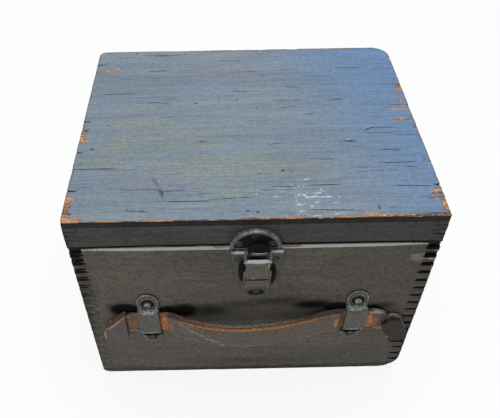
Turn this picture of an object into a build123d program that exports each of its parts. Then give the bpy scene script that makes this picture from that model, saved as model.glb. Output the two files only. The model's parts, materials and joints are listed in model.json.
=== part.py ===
"""Sextant box: a finger-jointed wooden case with a hinged lid, a draw catch and a sliding strap handle.

Millimetres. +Z is up, +X runs along the front, and -Y is the front. The origin is the centre of the underside.
Each function returns one node, or one kind of node, and main() writes every node to its own STEP file.
"""

from build123d import *

import math
import os

# ---- Case and lid ----
CASE_W = 280.0  # outside width, left to right
CASE_D = 230.0  # outside depth, front to back
SEAM_Z = 180.0  # height of the case's rim above its underside
WALL = 10.0  # thickness of the side boards and of the lid's rails
PANEL = 6.0  # thickness of the planted-on bottom and top panels
SEAM_GAP = 0.5  # joint between the rim and the lid
LID_RAIL_H = 22.5  # height of the lid's rails
FINGER_H = 5.0  # height that a corner finger is set out to
RIM_CHAMFER = 2.0  # worn front arris of the rim
WORN_FINGERS = 5  # side-board fingers at the top of the front corners that have shrunk back
FINGER_SHRINK = 2.2  # how far the topmost one has shrunk back

LID_Z = SEAM_Z + SEAM_GAP  # underside of the lid's rails
TOP_PANEL_Z = LID_Z + LID_RAIL_H  # underside of the top panel
TOP_Z = TOP_PANEL_Z + PANEL
HALF_W = CASE_W / 2
HALF_D = CASE_D / 2
INSIDE_W = CASE_W - 2 * WALL
INSIDE_D = CASE_D - 2 * WALL

# Knocked-off corners: side (-1 left or front, 1 right or back), then how far each reaches along its edges
WORN_FLOOR_CORNERS = (((1, -1), 17.0), ((-1, -1), 6.0), ((1, 1), 5.0))
WORN_TOP_CORNERS = (((1, 1), 14.0), ((-1, 1), 6.0), ((-1, -1), 3.0))
CORNER_FULLNESS = 1.2  # place of the rounding's centre, as a multiple of its reach

THROUGH = 2.0  # a cutter that goes right through is this many times as long as what it cuts

# ---- Screws ----
SCREW_CLEARANCE = 0.05  # between a shank and its hole, all round
HEAD_SIDES = 12  # flats round a screw's head
SLOT_W = 0.9
SLOT_DEPTH = 0.7
SMALL_HEAD_R = 3.0
SMALL_HEAD_H = 1.5
SMALL_SHANK_R = 1.4
SMALL_SCREW_L = 9.0
ROUND_HEAD_R = 3.6
ROUND_HEAD_H = 2.2

# ---- Cut brads, square in section, that hold the planted-on panels ----
BRAD_SIDE = 1.8
BRAD_HEAD = 2.8
BRAD_HEAD_H = 0.8
BRAD_L = 19.0
BRADS_LONG = 6  # along the front, and along the back
BRADS_SHORT = 3  # along each side, between the corners
BRAD_INSET = 14.0  # from the box's end to the first brad along the front

# ---- Hinges ----
HINGE_L = 50.0
HINGE_INSET = 33.0  # from the case's end to the near end of each hinge
HINGE_KNUCKLES = 3
LEAF_T = 1.2
LEAF_MARGIN = 1.4  # wood left between a leaf and the inside of the wall
LEAF_MEET = 0.1  # half the gap between the closed leaves
BARREL_R = 2.6
HINGE_PIN_R = 1.25
HINGE_PIN_CLEARANCE = 0.05
KNUCKLE_GAP = 0.25
BARREL_OFF = 0.3  # between the barrel and the back face
HINGE_SCREWS = 2
HINGE_HEAD_R = 2.4
HINGE_X = HALF_W - HINGE_INSET - HINGE_L / 2
LEAF_W = WALL - LEAF_MARGIN
HINGE_AXIS_Y = HALF_D + BARREL_OFF + BARREL_R
HINGE_AXIS_Z = SEAM_Z + SEAM_GAP / 2

# ---- Draw catch. "Out" is the distance in front of the front face ----
CATCH_X = 2.0  # the catch sits a little off the middle
SHEET = 1.3  # metal of the catch
CATCH_EDGE = 0.8  # bevel of the plates' front edges
PRESSED_WALL = SHEET + CATCH_EDGE  # side wall of a pressed plate, whose front edge is bevelled
STRIKE_R = 19.5  # half-round plate on the lid
STRIKE_OUT = 4.3
STRIKE_ASIDE = -1.6  # the plate sits a little left of the nose and of the rest of the catch
STRIKE_LIFT = 0.3  # from the lid's lower edge up to the plate's straight foot
STRIKE_RIM = 2.8  # width of the rim round its dished face
STRIKE_DISH = 1.4
STRIKE_SCREWS = ((0.0, 12.6), (-12.2, 5.2), (12.2, 5.2))  # x, height above the plate's foot
NOSE_HALF_W = 7.0
NOSE_OUT = 7.2
NOSE_LOW = 0.4  # above the strike plate's foot
NOSE_H = 3.4
BASE_HALF_W = 20.0  # shield-shaped plate on the case
BASE_DROP = 2.8  # from the case's rim down to the plate's straight top
BASE_H = 55.0
BASE_TIP_R = 11.0
BASE_OUT = 3.0
BASE_SCREWS = ((-14.3, 9.2), (14.3, 9.2), (0.0, 49.0))  # x from the catch's middle, drop from the plate's top
EAR_ROOT = (2.1, 2.7)  # how far an ear's root reaches below and above the lever's pivot
PIVOT_OUT = 6.1  # the lever's pivot in the ears
PIVOT_DROP = 27.4  # from the base plate's top
LEVER_HALF_W = 9.0
LEVER_HUB_R = 2.1
LEVER_FACE_OUT = 9.8
LEVER_RISE = 0.6  # the lever's top edge above its pivot
LEVER_FALL = 4.0  # its finger lip's fold below its pivot
LEVER_LIP = 1.6  # how far the finger lip flares, out and down
LINK_PIVOT_OUT = 5.2
LINK_PIVOT_FALL = 5.2  # below the lever's pivot
LINK_HUB_R = 1.9
CATCH_PIN_R = 1.1
PIN_CLEARANCE = 0.05
CHEEK_GAP = 0.4  # between an ear and the lever's cheek, and between that and the link's arm
LINK_PLATE = (2.4, 19.7)  # lower and upper edge of the link's plate above the lever's pivot
LINK_SHOULDER = (6.7, 11.7)  # between these heights above that pivot the arms leave the plate
LINK_FLANGE = 2.4  # the plate's top edge, turned in towards the case
RAIL_W = 1.9
RAIL_T = 1.8
RAIL_SPREAD = 0.35  # the rails stand this much further apart than the plate's edges at mid-width
HOOK_GAP = 0.4  # between the nose and the link's crossbar, in front of it
CROSSBAR_LIFT = 2.6  # from the nose's top to the ends of the crossbar
CROSSBAR_HALF_W = 5.0
CROSSBAR_SAG = 1.6  # how far the crossbar's middle lies below its ends
HOOD_LIFT = 1.1  # the hood's middle above the ends of the crossbar
HOOD_HALF_W = 8.2
HOOD_HALF_H = 5.8
HOOD_ROLL_R = 14.0
HOOD_OUT = 13.0
HOOD_NECK_HALF_W = 3.5

STRIKE_X = CATCH_X + STRIKE_ASIDE
STRIKE_Z = LID_Z + STRIKE_LIFT
NOSE_Z = STRIKE_Z + NOSE_LOW
BASE_TOP_Z = SEAM_Z - BASE_DROP
PIVOT_Z = BASE_TOP_Z - PIVOT_DROP
LINK_PIVOT_Z = PIVOT_Z - LINK_PIVOT_FALL
RAIL_TOP_Z = NOSE_Z + NOSE_H + CROSSBAR_LIFT
HOOD_Z = RAIL_TOP_Z + HOOD_LIFT
EAR_OUTER = LEVER_HALF_W - SHEET - CHEEK_GAP  # the outer face of an ear, from the catch's middle
ARM_OUTER = LEVER_HALF_W + CHEEK_GAP + SHEET  # the outer face of a link arm

# ---- Strap handle ----
STRAP_W = 24.0
STRAP_T = 3.4
STRAP_OFF = 1.6  # between the strap and the case
STRAP_REST = 0.3  # between the strap's lower edge and the loops it rests in
LOOP_INSET = 53.0  # from the case's end to the middle of each loop
LOOP_Z = 90.0
LOOP_W = 18.0
LOOP_T = 1.5
LOOP_PLAY = 1.0  # between the strap's edge and the bridge, above and below
LOOP_ROOM = 1.1  # between the strap's face and the bridge
LOOP_SLOPE_H = (7.0, 2.0)  # height over which the bridge comes down to the wood, below and above
LOOP_FOOT_H = (15.5, 18.0)  # what lies flat on the wood, below and above
LOOP_BEND = 1.6
LOOP_SCREW_FOOT = (6.1, 6.6)  # from the start of each foot to its screw
LOOP_BOSS_R = 5.4  # raised round each screw
LOOP_BOSS_H = 0.7
TAIL_LEFT = 34.0  # strap beyond the middle of the left loop
TAIL_RIGHT = 13.5  # to where the right tail starts to droop
BOW_RISE = 14.6  # how far the bowed grip stands out
BOW_START = 13.0  # from the middle of the left loop to the start of the bow
BOW_PEAK = 75.0  # from the middle of the left loop to the top of the bow
BOW_END = 11.0  # from the end of the bow to the middle of the right loop
BOW_FOOT_R = (25.0, 60.0)  # inside curve at the bow's left and right foot
GRIP_T = 2.6  # second thickness of leather on the grip
GRIP_OFF = 0.1  # between the two thicknesses
GRIP_CUT = 3.0  # the second thickness stops this far inside each end of the bow
DROOP_L = 26.0  # the drooping end, from the corner that its bend rounds off
DROOP_TILT = 30.0
DROOP_R = 25.0
DROOP_LAP = 2.0  # the drooping end is drawn from this far back in the straight tail
STOP_T = 4.0  # a stop's thickness in front of the strap
STOP_L = 21.0
STOP_H = (35.0, 37.0)  # height of the left and of the right stop
STOP_ROUND = (4.0, 18.0)  # the left stop's outer corners, below and above
STOP_DISC = (8.0, 10.4)  # the right stop's corners, inner and outer
STOP_LIP = (6.0, 1.5)  # from the strap's own end to the outer end of its left and right stop

LOOP_X = HALF_W - LOOP_INSET
LOOP_OUT = STRAP_OFF + STRAP_T + LOOP_ROOM + LOOP_T
LOOP_BRIDGE_HALF_H = STRAP_W / 2 + LOOP_PLAY
LOOP_SLOPE_END = tuple(LOOP_BRIDGE_HALF_H + h for h in LOOP_SLOPE_H)  # where the bridge leaves the wood
LOOP_END = tuple(a + b for a, b in zip(LOOP_SLOPE_END, LOOP_FOOT_H))
LOOP_SCREW_Z = tuple(a + b for a, b in zip(LOOP_SLOPE_END, LOOP_SCREW_FOOT))
STRAP_LEFT_X = -LOOP_X - TAIL_LEFT
STRAP_RIGHT_X = LOOP_X + TAIL_RIGHT
BOW_LEFT_X = -LOOP_X + BOW_START
BOW_PEAK_X = -LOOP_X + BOW_PEAK
BOW_RIGHT_X = LOOP_X - BOW_END

# ---- Inside fittings ----
SADDLE_T = 18.0
SADDLE_H = 62.0
SADDLE_INSET = 44.0  # from the left wall to the middle of the left saddle
SADDLE_PITCH = 100.0
NOTCH_HALF_W = 56.0
NOTCH_DEPTH = 36.0
FELT_T = 3.0
ACCESSORY_W = 53.0  # clear width of the accessory compartment
PARTITION_T = 6.0
PARTITION_H = 112.0
FINGER_HOLE_R = 14.0
PAD_L = 96.0
PAD_W = 24.0
PAD_H = 13.0
KEEPER_L = 44.0
KEEPER_W = 14.0
KEEPER_T = 7.0
KEEPER_LIFT = 0.3  # between the keeper and its block
KEEPER_SCREW_L = 18.0
KEEPER_PIVOT_INSET = 24.0  # from the back wall
KEEPER_PIVOT_FROM_END = 9.0

SADDLE_X = (SADDLE_INSET - INSIDE_W / 2, SADDLE_INSET + SADDLE_PITCH - INSIDE_W / 2)
PARTITION_X = INSIDE_W / 2 - ACCESSORY_W - PARTITION_T / 2
KEEPER_PIVOT_X = SADDLE_X[1]
KEEPER_PIVOT_Y = HALF_D - WALL - KEEPER_PIVOT_INSET
KEEPER_Z = PANEL + SADDLE_H + KEEPER_LIFT

FRONT = Plane(origin=(0, -HALF_D, 0), x_dir=(1, 0, 0), z_dir=(0, -1, 0))


# ---- Helpers ----
def on_front(shape, x=0.0, height=0.0, out=0.0):
    """Place a shape drawn in x, height and outward on the case's front face."""
    return FRONT.location * Pos(x, height, out) * shape


def side_profile(sketch, half_width, x=CATCH_X):
    """Extrude a sketch drawn in outward and height both ways along X."""
    turned = Plane(origin=(x, -HALF_D, 0), x_dir=(0, -1, 0), z_dir=(-1, 0, 0)) * sketch
    return extrude(turned, amount=half_width, both=True)


def cheeks(sketch, outer_half_w, thickness, x=CATCH_X):
    """Two side walls cut from one side profile."""
    solid = side_profile(sketch, outer_half_w, x)
    core = side_profile(sketch, outer_half_w - thickness, x)
    return solid - core


def shank(radius, length, clearance=0.0):
    """A screw's threaded shank going down from Z 0, as the six-sided bar inside its thread, or the hole for it."""
    return extrude(RegularPolygon(radius + clearance, 6), amount=-length)


def tapered_head(wide_r, narrow_r, height):
    """A screw head with its wide face at Z 0 and its narrow face above it, or the hole for it."""
    slant = math.degrees(math.atan2(wide_r - narrow_r, height))
    return extrude(RegularPolygon(wide_r, HEAD_SIDES, major_radius=False), amount=height, taper=slant)


def flat_screw(head_r, head_h, shank_r, length, clearance=0.0):
    """A countersunk screw with its head's face at Z 0, or the hole for it."""
    head = Rot(X=180) * tapered_head(head_r + clearance, shank_r + clearance, head_h)
    return head + shank(shank_r, length, clearance)


def round_screw(head_r, head_h, shank_r, length):
    """A slotted screw with a raised, tapering head that seats at Z 0."""
    slot = Pos(0, 0, head_h) * Box(THROUGH * head_r, SLOT_W, 2 * SLOT_DEPTH)
    return tapered_head(head_r, head_r - head_h / 2, head_h) + shank(shank_r, length) - slot


def small_screw(clearance=0.0):
    """The screw that fastens the catch, or the hole for it."""
    return flat_screw(SMALL_HEAD_R, SMALL_HEAD_H, SMALL_SHANK_R, SMALL_SCREW_L, clearance)


def shank_hole(shank_r, length):
    """A blind hole for a screw's shank, going down from Z 0."""
    return shank(shank_r, length, SCREW_CLEARANCE)


def worn_corner(side_x, side_y, z, up, reach):
    """What is missing from a knocked-off corner: the cube at the corner, outside a ball."""
    centre = CORNER_FULLNESS * reach
    ball_r = math.sqrt((centre - reach) ** 2 + 2 * centre**2)
    cube = Pos(reach / 2, reach / 2, reach / 2) * Box(reach, reach, reach)
    waste = cube - Pos(centre, centre, centre) * Sphere(ball_r)
    waste = waste if up > 0 else mirror(waste, about=Plane.XY)
    waste = waste if side_x < 0 else mirror(waste, about=Plane.YZ)
    waste = waste if side_y < 0 else mirror(waste, about=Plane.XZ)
    return Pos(side_x * HALF_W, side_y * HALF_D, z) * waste


def knock_corners(piece, touches):
    """Take the box's worn corners off a piece that reaches them."""
    for (side_x, side_y), reach in WORN_FLOOR_CORNERS:
        if touches(side_x, side_y, -1):
            piece -= worn_corner(side_x, side_y, 0, 1, reach)
    for (side_x, side_y), reach in WORN_TOP_CORNERS:
        if touches(side_x, side_y, 1):
            piece -= worn_corner(side_x, side_y, TOP_Z, -1, reach)
    return piece


def finger_bands(low_z, height):
    """The height of one corner finger, and the middle height of each, from the top down. Their number is odd."""
    count = 2 * round((height / FINGER_H - 1) / 2) + 1
    step = height / count
    return step, [low_z + height - (i + 0.5) * step for i in range(count)]


# ---- Boards ----
def long_board(side_y, low_z, height):
    """A front or back board: its fingers fill the odd bands at both ends."""
    board = Pos(0, side_y * (HALF_D - WALL / 2), low_z + height / 2) * Box(CASE_W, WALL, height)
    step, bands = finger_bands(low_z, height)
    for z in bands[::2]:
        for side_x in (-1, 1):
            board -= Pos(side_x * (HALF_W - WALL / 2), side_y * (HALF_D - WALL / 2), z) * Box(WALL, WALL, step)
    return board


def short_board(side_x, low_z, height):
    """A left or right board: its fingers fill the even bands at both ends."""
    board = Pos(side_x * (HALF_W - WALL / 2), 0, low_z + height / 2) * Box(WALL, CASE_D, height)
    step, bands = finger_bands(low_z, height)
    for z in bands[1::2]:
        for side_y in (-1, 1):
            board -= Pos(side_x * (HALF_W - WALL / 2), side_y * (HALF_D - WALL / 2), z) * Box(WALL, WALL, step)
    return board


def shrunk_finger_ends(side_x):
    """What has gone from the front ends of a side board's top fingers, less at each finger down."""
    step, bands = finger_bands(PANEL, SEAM_Z - PANEL)
    gone = []
    for i, z in enumerate(bands[::2][:WORN_FINGERS]):
        depth = FINGER_SHRINK * (1 - i / WORN_FINGERS)
        gone.append(Pos(side_x * (HALF_W - WALL / 2), -HALF_D + depth / 2, z) * Box(WALL, depth, step))
    return gone


def front_board():
    """The case's front, bored for the catch and the strap loops, with its worn top arris."""
    board = long_board(-1, PANEL, SEAM_Z - PANEL)
    arris = Polygon((0, 0), (-RIM_CHAMFER, 0), (0, -RIM_CHAMFER), align=None)
    board -= extrude(Plane(origin=(-INSIDE_W / 2, -HALF_D, SEAM_Z), x_dir=(0, -1, 0), z_dir=(1, 0, 0)) * arris,
                     amount=INSIDE_W)
    for x, drop in BASE_SCREWS:
        board -= on_front(shank_hole(SMALL_SHANK_R, SMALL_SCREW_L - BASE_OUT), CATCH_X + x, BASE_TOP_Z - drop)
    for x, z in loop_screw_places():
        board -= on_front(shank_hole(SMALL_SHANK_R, SMALL_SCREW_L - LOOP_T - LOOP_BOSS_H), x, z)
    return knock_corners(pierce(board, 0, -1), lambda sx, sy, up: sy < 0 and up < 0)


def back_board():
    """The case's back, recessed and bored along its rim for the hinge leaves."""
    board = long_board(1, PANEL, SEAM_Z - PANEL)
    for side in (-1, 1):
        board -= leaf_recess(side, -1)
        for place in hinge_screw_places(side, -1):
            board -= place * shank_hole(SMALL_SHANK_R, SMALL_SCREW_L)
    return knock_corners(pierce(board, 0, -1), lambda sx, sy, up: sy > 0 and up < 0)


def side_board(side_x):
    """The case's left or right board."""
    board = short_board(side_x, PANEL, SEAM_Z - PANEL)
    for gone in shrunk_finger_ends(side_x):
        board -= gone
    return knock_corners(pierce(board, 0, -1), lambda sx, sy, up: sx == side_x and up < 0)


def brad_places():
    """The x and y of each brad, over the middle of the boards, all the way round."""
    end_x, end_y = HALF_W - BRAD_INSET, HALF_D - WALL / 2
    places = []
    for i in range(BRADS_LONG):
        x = -end_x + 2 * end_x * i / (BRADS_LONG - 1)
        places += [(x, -end_y), (x, end_y)]
    for i in range(BRADS_SHORT):
        y = INSIDE_D * ((i + 1) / (BRADS_SHORT + 1) - 0.5)
        places += [(-HALF_W + WALL / 2, y), (HALF_W - WALL / 2, y)]
    return places


def brad(clearance=0.0):
    """A square cut brad with its head's face up at Z 0, or the hole for it."""
    head_side = BRAD_HEAD + 2 * clearance
    side = BRAD_SIDE + 2 * clearance
    head = Pos(0, 0, -BRAD_HEAD_H / 2) * Box(head_side, head_side, BRAD_HEAD_H)
    return head + Pos(0, 0, -BRAD_L / 2) * Box(side, side, BRAD_L)


def brads(face_z, up, clearance=0.0):
    """Every brad driven into one face of the box, or their holes: up is 1 for the top and -1 for the bottom."""
    turned = Rot(X=0 if up > 0 else 180) * brad(clearance)
    return [Pos(x, y, face_z) * turned for x, y in brad_places()]


def pierce(board, face_z, up):
    """Take out of a board the holes of the brads that reach it."""
    bounds = board.bounding_box()
    for hole in brads(face_z, up, SCREW_CLEARANCE):
        middle = hole.center(CenterOf.BOUNDING_BOX)
        if bounds.min.X < middle.X < bounds.max.X and bounds.min.Y < middle.Y < bounds.max.Y:
            board -= hole
    return board


def bottom_panel():
    """The planted-on bottom, pierced by its brads."""
    panel = Pos(0, 0, PANEL / 2) * Box(CASE_W, CASE_D, PANEL)
    return knock_corners(pierce(panel, 0, -1), lambda sx, sy, up: up < 0)


# ---- Lid ----
def lid_front_rail():
    """The lid's front rail, bored for the strike plate."""
    rail = long_board(-1, LID_Z, LID_RAIL_H)
    for x, rise in STRIKE_SCREWS:
        depth = SMALL_SCREW_L - STRIKE_OUT + STRIKE_DISH
        rail -= on_front(shank_hole(SMALL_SHANK_R, depth), STRIKE_X + x, STRIKE_Z + rise)
    return knock_corners(pierce(rail, TOP_Z, 1), lambda sx, sy, up: sy < 0 and up > 0)


def lid_back_rail():
    """The lid's back rail, recessed and bored along its lower edge for the hinge leaves."""
    rail = long_board(1, LID_Z, LID_RAIL_H)
    for side in (-1, 1):
        rail -= leaf_recess(side, 1)
        for place in hinge_screw_places(side, 1):
            rail -= place * shank_hole(SMALL_SHANK_R, SMALL_SCREW_L)
    return knock_corners(pierce(rail, TOP_Z, 1), lambda sx, sy, up: sy > 0 and up > 0)


def lid_side_rail(side_x):
    """The lid's left or right rail."""
    rail = short_board(side_x, LID_Z, LID_RAIL_H)
    return knock_corners(pierce(rail, TOP_Z, 1), lambda sx, sy, up: sx == side_x and up > 0)


def lid_top_panel():
    """The planted-on top of the lid, pierced by its brads."""
    panel = Pos(0, 0, TOP_PANEL_Z + PANEL / 2) * Box(CASE_W, CASE_D, PANEL)
    return knock_corners(pierce(panel, TOP_Z, 1), lambda sx, sy, up: up > 0)


# ---- Hinges ----
def leaf_span(up):
    """The lowest and highest Z of a closed leaf: up is -1 for the case's, 1 for the lid's."""
    near = HINGE_AXIS_Z + up * LEAF_MEET
    return sorted((near, near + up * LEAF_T))


def leaf_recess(side, up):
    """The shallow recess that a leaf is let into."""
    low, high = leaf_span(up)
    return Pos(side * HINGE_X, HALF_D - LEAF_W / 2, (low + high) / 2) * Box(HINGE_L, LEAF_W, high - low)


def hinge_screw_places(side, up):
    """Where a leaf's screws go, each with +Z towards the leaf's open face."""
    face = HINGE_AXIS_Z + up * LEAF_MEET
    pitch = HINGE_L / HINGE_SCREWS
    for i in range(HINGE_SCREWS):
        x = side * HINGE_X + (i - (HINGE_SCREWS - 1) / 2) * pitch
        yield Pos(x, HALF_D - LEAF_W / 2, face) * Rot(X=0 if up < 0 else 180)


def hinge_leaf(side, up):
    """One leaf: a plate let into the edge, with every other knuckle of the barrel."""
    low, high = leaf_span(up)
    mid_z = (low + high) / 2
    leaf = leaf_recess(side, up)
    pitch = HINGE_L / HINGE_KNUCKLES
    for i in range(0 if up < 0 else 1, HINGE_KNUCKLES, 2):
        x = side * HINGE_X + (i - (HINGE_KNUCKLES - 1) / 2) * pitch
        length = pitch - KNUCKLE_GAP
        reach = HINGE_AXIS_Y - HALF_D
        leaf += Pos(x, HALF_D + reach / 2, mid_z) * Box(length, reach, high - low)
        leaf += Pos(x, HINGE_AXIS_Y, HINGE_AXIS_Z) * Rot(Y=90) * Cylinder(BARREL_R, length)
    bore_r = HINGE_PIN_R if up < 0 else HINGE_PIN_R + HINGE_PIN_CLEARANCE
    leaf -= Pos(side * HINGE_X, HINGE_AXIS_Y, HINGE_AXIS_Z) * Rot(Y=90) * Cylinder(bore_r, THROUGH * HINGE_L)
    for place in hinge_screw_places(side, up):
        leaf -= place * flat_screw(HINGE_HEAD_R, LEAF_T, SMALL_SHANK_R, SMALL_SCREW_L, SCREW_CLEARANCE)
    return leaf


def hinge_pin(side):
    """The pin that the knuckles turn on, held in the case's leaf."""
    return Pos(side * HINGE_X, HINGE_AXIS_Y, HINGE_AXIS_Z) * Rot(Y=90) * Cylinder(HINGE_PIN_R, HINGE_L)


def hinge_screws(up):
    """The screws of both case leaves, or of both lid leaves."""
    screw = flat_screw(HINGE_HEAD_R, LEAF_T, SMALL_SHANK_R, SMALL_SCREW_L)
    return [place * screw for side in (-1, 1) for place in hinge_screw_places(side, up)]


# ---- Draw catch ----
def half_round(radius):
    """The strike plate's outline, drawn up from its straight foot."""
    return Circle(radius) & Pos(0, radius / 2) * Rectangle(2 * radius, radius)


def shield(half_w, height, tip_r):
    """The base plate's outline, drawn down from its straight top: two long arcs that run into a rounded tip."""
    drop = height - tip_r
    side_r = (half_w**2 + drop**2 - tip_r**2) / (2 * (half_w - tip_r))
    turn = math.degrees(math.atan2(drop, side_r - half_w))
    right = CenterArc((half_w - side_r, 0), side_r, 0, -turn)
    left = CenterArc((side_r - half_w, 0), side_r, 180, turn)
    tip = CenterArc((0, -drop), tip_r, -turn, 2 * turn - 180)
    return make_face([right, left, tip, Line((-half_w, 0), (half_w, 0))])


def nose():
    """The strike's nose, bent from its foot: a lug with a rounded tip that the link's crossbar catches over."""
    mid = NOSE_Z + NOSE_H / 2
    root = STRIKE_OUT - STRIKE_DISH - SHEET
    tip_out = NOSE_OUT - NOSE_H / 2
    stem = Pos((root + tip_out) / 2, mid) * Rectangle(tip_out - root, NOSE_H)
    return side_profile(stem + Pos(tip_out, mid) * Circle(NOSE_H / 2), NOSE_HALF_W)


def strike_plate():
    """The half-round plate on the lid, dished from sheet inside a raised rim, with its nose."""
    face_out = STRIKE_OUT - STRIKE_DISH
    shell = extrude(half_round(STRIKE_R), amount=STRIKE_OUT)
    shell = chamfer(shell.edges().group_by(Axis.Z)[-1], CATCH_EDGE)
    dish = Pos(0, 0, face_out) * extrude(half_round(STRIKE_R - STRIKE_RIM), amount=STRIKE_DISH)
    hollow = Pos(0, SHEET, 0) * extrude(half_round(STRIKE_R - PRESSED_WALL), amount=face_out - SHEET)
    plate = on_front(shell - dish - hollow, STRIKE_X, STRIKE_Z)
    for x, rise in STRIKE_SCREWS:
        plate -= on_front(small_screw(SCREW_CLEARANCE), STRIKE_X + x, STRIKE_Z + rise, face_out)
    return plate + nose()


def strike_screws():
    """The three screws of the strike plate."""
    face_out = STRIKE_OUT - STRIKE_DISH
    return [on_front(small_screw(), STRIKE_X + x, STRIKE_Z + rise, face_out) for x, rise in STRIKE_SCREWS]


def catch_base():
    """The shield-shaped plate on the case, dished from sheet, with the two ears that carry the lever."""
    shell = extrude(shield(BASE_HALF_W, BASE_H, BASE_TIP_R), amount=BASE_OUT)
    shell = chamfer(shell.edges().group_by(Axis.Z)[-1], CATCH_EDGE)
    inner = shield(BASE_HALF_W - PRESSED_WALL, BASE_H - PRESSED_WALL - SHEET, BASE_TIP_R - PRESSED_WALL)
    hollow = Pos(0, -SHEET, 0) * extrude(inner, amount=BASE_OUT - SHEET)
    plate = on_front(shell - hollow, CATCH_X, BASE_TOP_Z)
    for x, drop in BASE_SCREWS:
        plate -= on_front(small_screw(SCREW_CLEARANCE), CATCH_X + x, BASE_TOP_Z - drop, BASE_OUT)
    foot = BASE_OUT - SHEET
    below, above = EAR_ROOT
    hub = Pos(PIVOT_OUT, PIVOT_Z) * Circle(LEVER_HUB_R)
    ear = make_hull(hub.edges() + Line((foot, PIVOT_Z - below), (foot, PIVOT_Z + above)).edges())
    ear -= Pos(PIVOT_OUT, PIVOT_Z) * Circle(CATCH_PIN_R + PIN_CLEARANCE)
    return plate + cheeks(ear, EAR_OUTER, SHEET)


def catch_base_screws():
    """The three screws of the catch's base."""
    return [on_front(small_screw(), CATCH_X + x, BASE_TOP_Z - drop, BASE_OUT) for x, drop in BASE_SCREWS]


def lever_pin():
    """The pin through the lever's cheeks, on which it turns in the ears."""
    return side_profile(Pos(PIVOT_OUT, PIVOT_Z) * Circle(CATCH_PIN_R), LEVER_HALF_W)


def catch_lever():
    """The lever: a channel with a finger lip, straddling the ears and carrying the link outside its cheeks."""
    face_mid = LEVER_FACE_OUT - SHEET / 2
    face_in = LEVER_FACE_OUT - SHEET
    top, fold = PIVOT_Z + LEVER_RISE, PIVOT_Z - LEVER_FALL
    path = Polyline((face_mid, top), (face_mid, fold), (face_mid + LEVER_LIP, fold - LEVER_LIP))
    face = side_profile(trace(path, line_width=SHEET), LEVER_HALF_W)
    pivot, link_pivot = Pos(PIVOT_OUT, PIVOT_Z), Pos(LINK_PIVOT_OUT, LINK_PIVOT_Z)
    outline = make_hull(
        (pivot * Circle(LEVER_HUB_R)).edges()
        + (link_pivot * Circle(LINK_HUB_R)).edges()
        + Line((face_in, top), (face_in, fold)).edges()
    )
    lever = face + cheeks(outline, LEVER_HALF_W, SHEET)
    lever -= side_profile(pivot * Circle(CATCH_PIN_R), LEVER_HALF_W)
    return lever - side_profile(link_pivot * Circle(CATCH_PIN_R + PIN_CLEARANCE), LEVER_HALF_W)


def draw_link():
    """The link: arms outside the lever, a plate, a loop whose crossbar catches the nose, and a thumb hood."""
    face_mid = LEVER_FACE_OUT - SHEET / 2
    face_in = LEVER_FACE_OUT - SHEET
    foot, top = (PIVOT_Z + rise for rise in LINK_PLATE)
    plate_path = Polyline((face_mid, foot), (face_mid, top), (face_mid - LINK_FLANGE, top + LINK_FLANGE))
    plate = side_profile(trace(plate_path, line_width=SHEET), LEVER_HALF_W)
    low, high = (PIVOT_Z + rise for rise in LINK_SHOULDER)
    shoulder = Pos(face_mid, (low + high) / 2) * Rectangle(SHEET, high - low)
    pivot = Pos(LINK_PIVOT_OUT, LINK_PIVOT_Z)
    arm = make_hull(
        (pivot * Circle(LINK_HUB_R)).edges()
        + Line((face_in, low), (face_in, high)).edges()
        + Line((LEVER_FACE_OUT, low + SHEET), (LEVER_FACE_OUT, high - SHEET)).edges()
    )
    arm -= pivot * Circle(CATCH_PIN_R)
    link = plate + side_profile(shoulder, ARM_OUTER) + cheeks(arm, ARM_OUTER, SHEET)
    return link + link_loop(top) + hood()


def link_loop(plate_top):
    """The rails that rise from the link's plate, and the crossbar that joins them in front of the nose."""
    plate_x = LEVER_HALF_W - RAIL_W / 2
    rail_x = LEVER_HALF_W + RAIL_SPREAD
    right = (
        (plate_x, plate_top - RAIL_W),
        (rail_x, plate_top + RAIL_W),
        (rail_x, RAIL_TOP_Z),
        (CROSSBAR_HALF_W, RAIL_TOP_Z - CROSSBAR_SAG),
    )
    left = tuple((-x, z) for x, z in reversed(right))
    loop = trace(FilletPolyline(*right, *left, radius=RAIL_W), line_width=RAIL_W)
    return on_front(extrude(loop, amount=RAIL_T), CATCH_X, 0, NOSE_OUT + HOOK_GAP)


def hood():
    """The link's oval thumb hood, rolled from sheet, on a neck folded forward from the crossbar."""
    oval = extrude(SlotOverall(2 * HOOD_HALF_W, 2 * HOOD_HALF_H), amount=HOOD_OUT)
    roll = Rot(Y=90) * Cylinder(HOOD_ROLL_R, THROUGH * 2 * HOOD_HALF_W)
    inside = Rot(Y=90) * Cylinder(HOOD_ROLL_R - SHEET, THROUGH * 2 * HOOD_HALF_W)
    axis = Pos(0, 0, HOOD_OUT - HOOD_ROLL_R)
    plate = on_front((oval & axis * roll) - axis * inside, CATCH_X, HOOD_Z)
    root = NOSE_OUT + HOOK_GAP
    neck = Pos((root + HOOD_OUT) / 2, RAIL_TOP_Z - CROSSBAR_SAG) * Rectangle(HOOD_OUT - root, RAIL_W)
    return plate + (side_profile(neck, HOOD_NECK_HALF_W) & on_front(axis * roll, CATCH_X, HOOD_Z))


def link_pin():
    """The pin through the link's arms, on which the lever's cheeks turn."""
    return side_profile(Pos(LINK_PIVOT_OUT, LINK_PIVOT_Z) * Circle(CATCH_PIN_R), ARM_OUTER)


# ---- Strap handle ----
def loop_screw_places():
    """The x and height of each strap-loop screw."""
    return [(side * LOOP_X, LOOP_Z + end * z) for side in (-1, 1) for end, z in zip((-1, 1), LOOP_SCREW_Z)]


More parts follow.
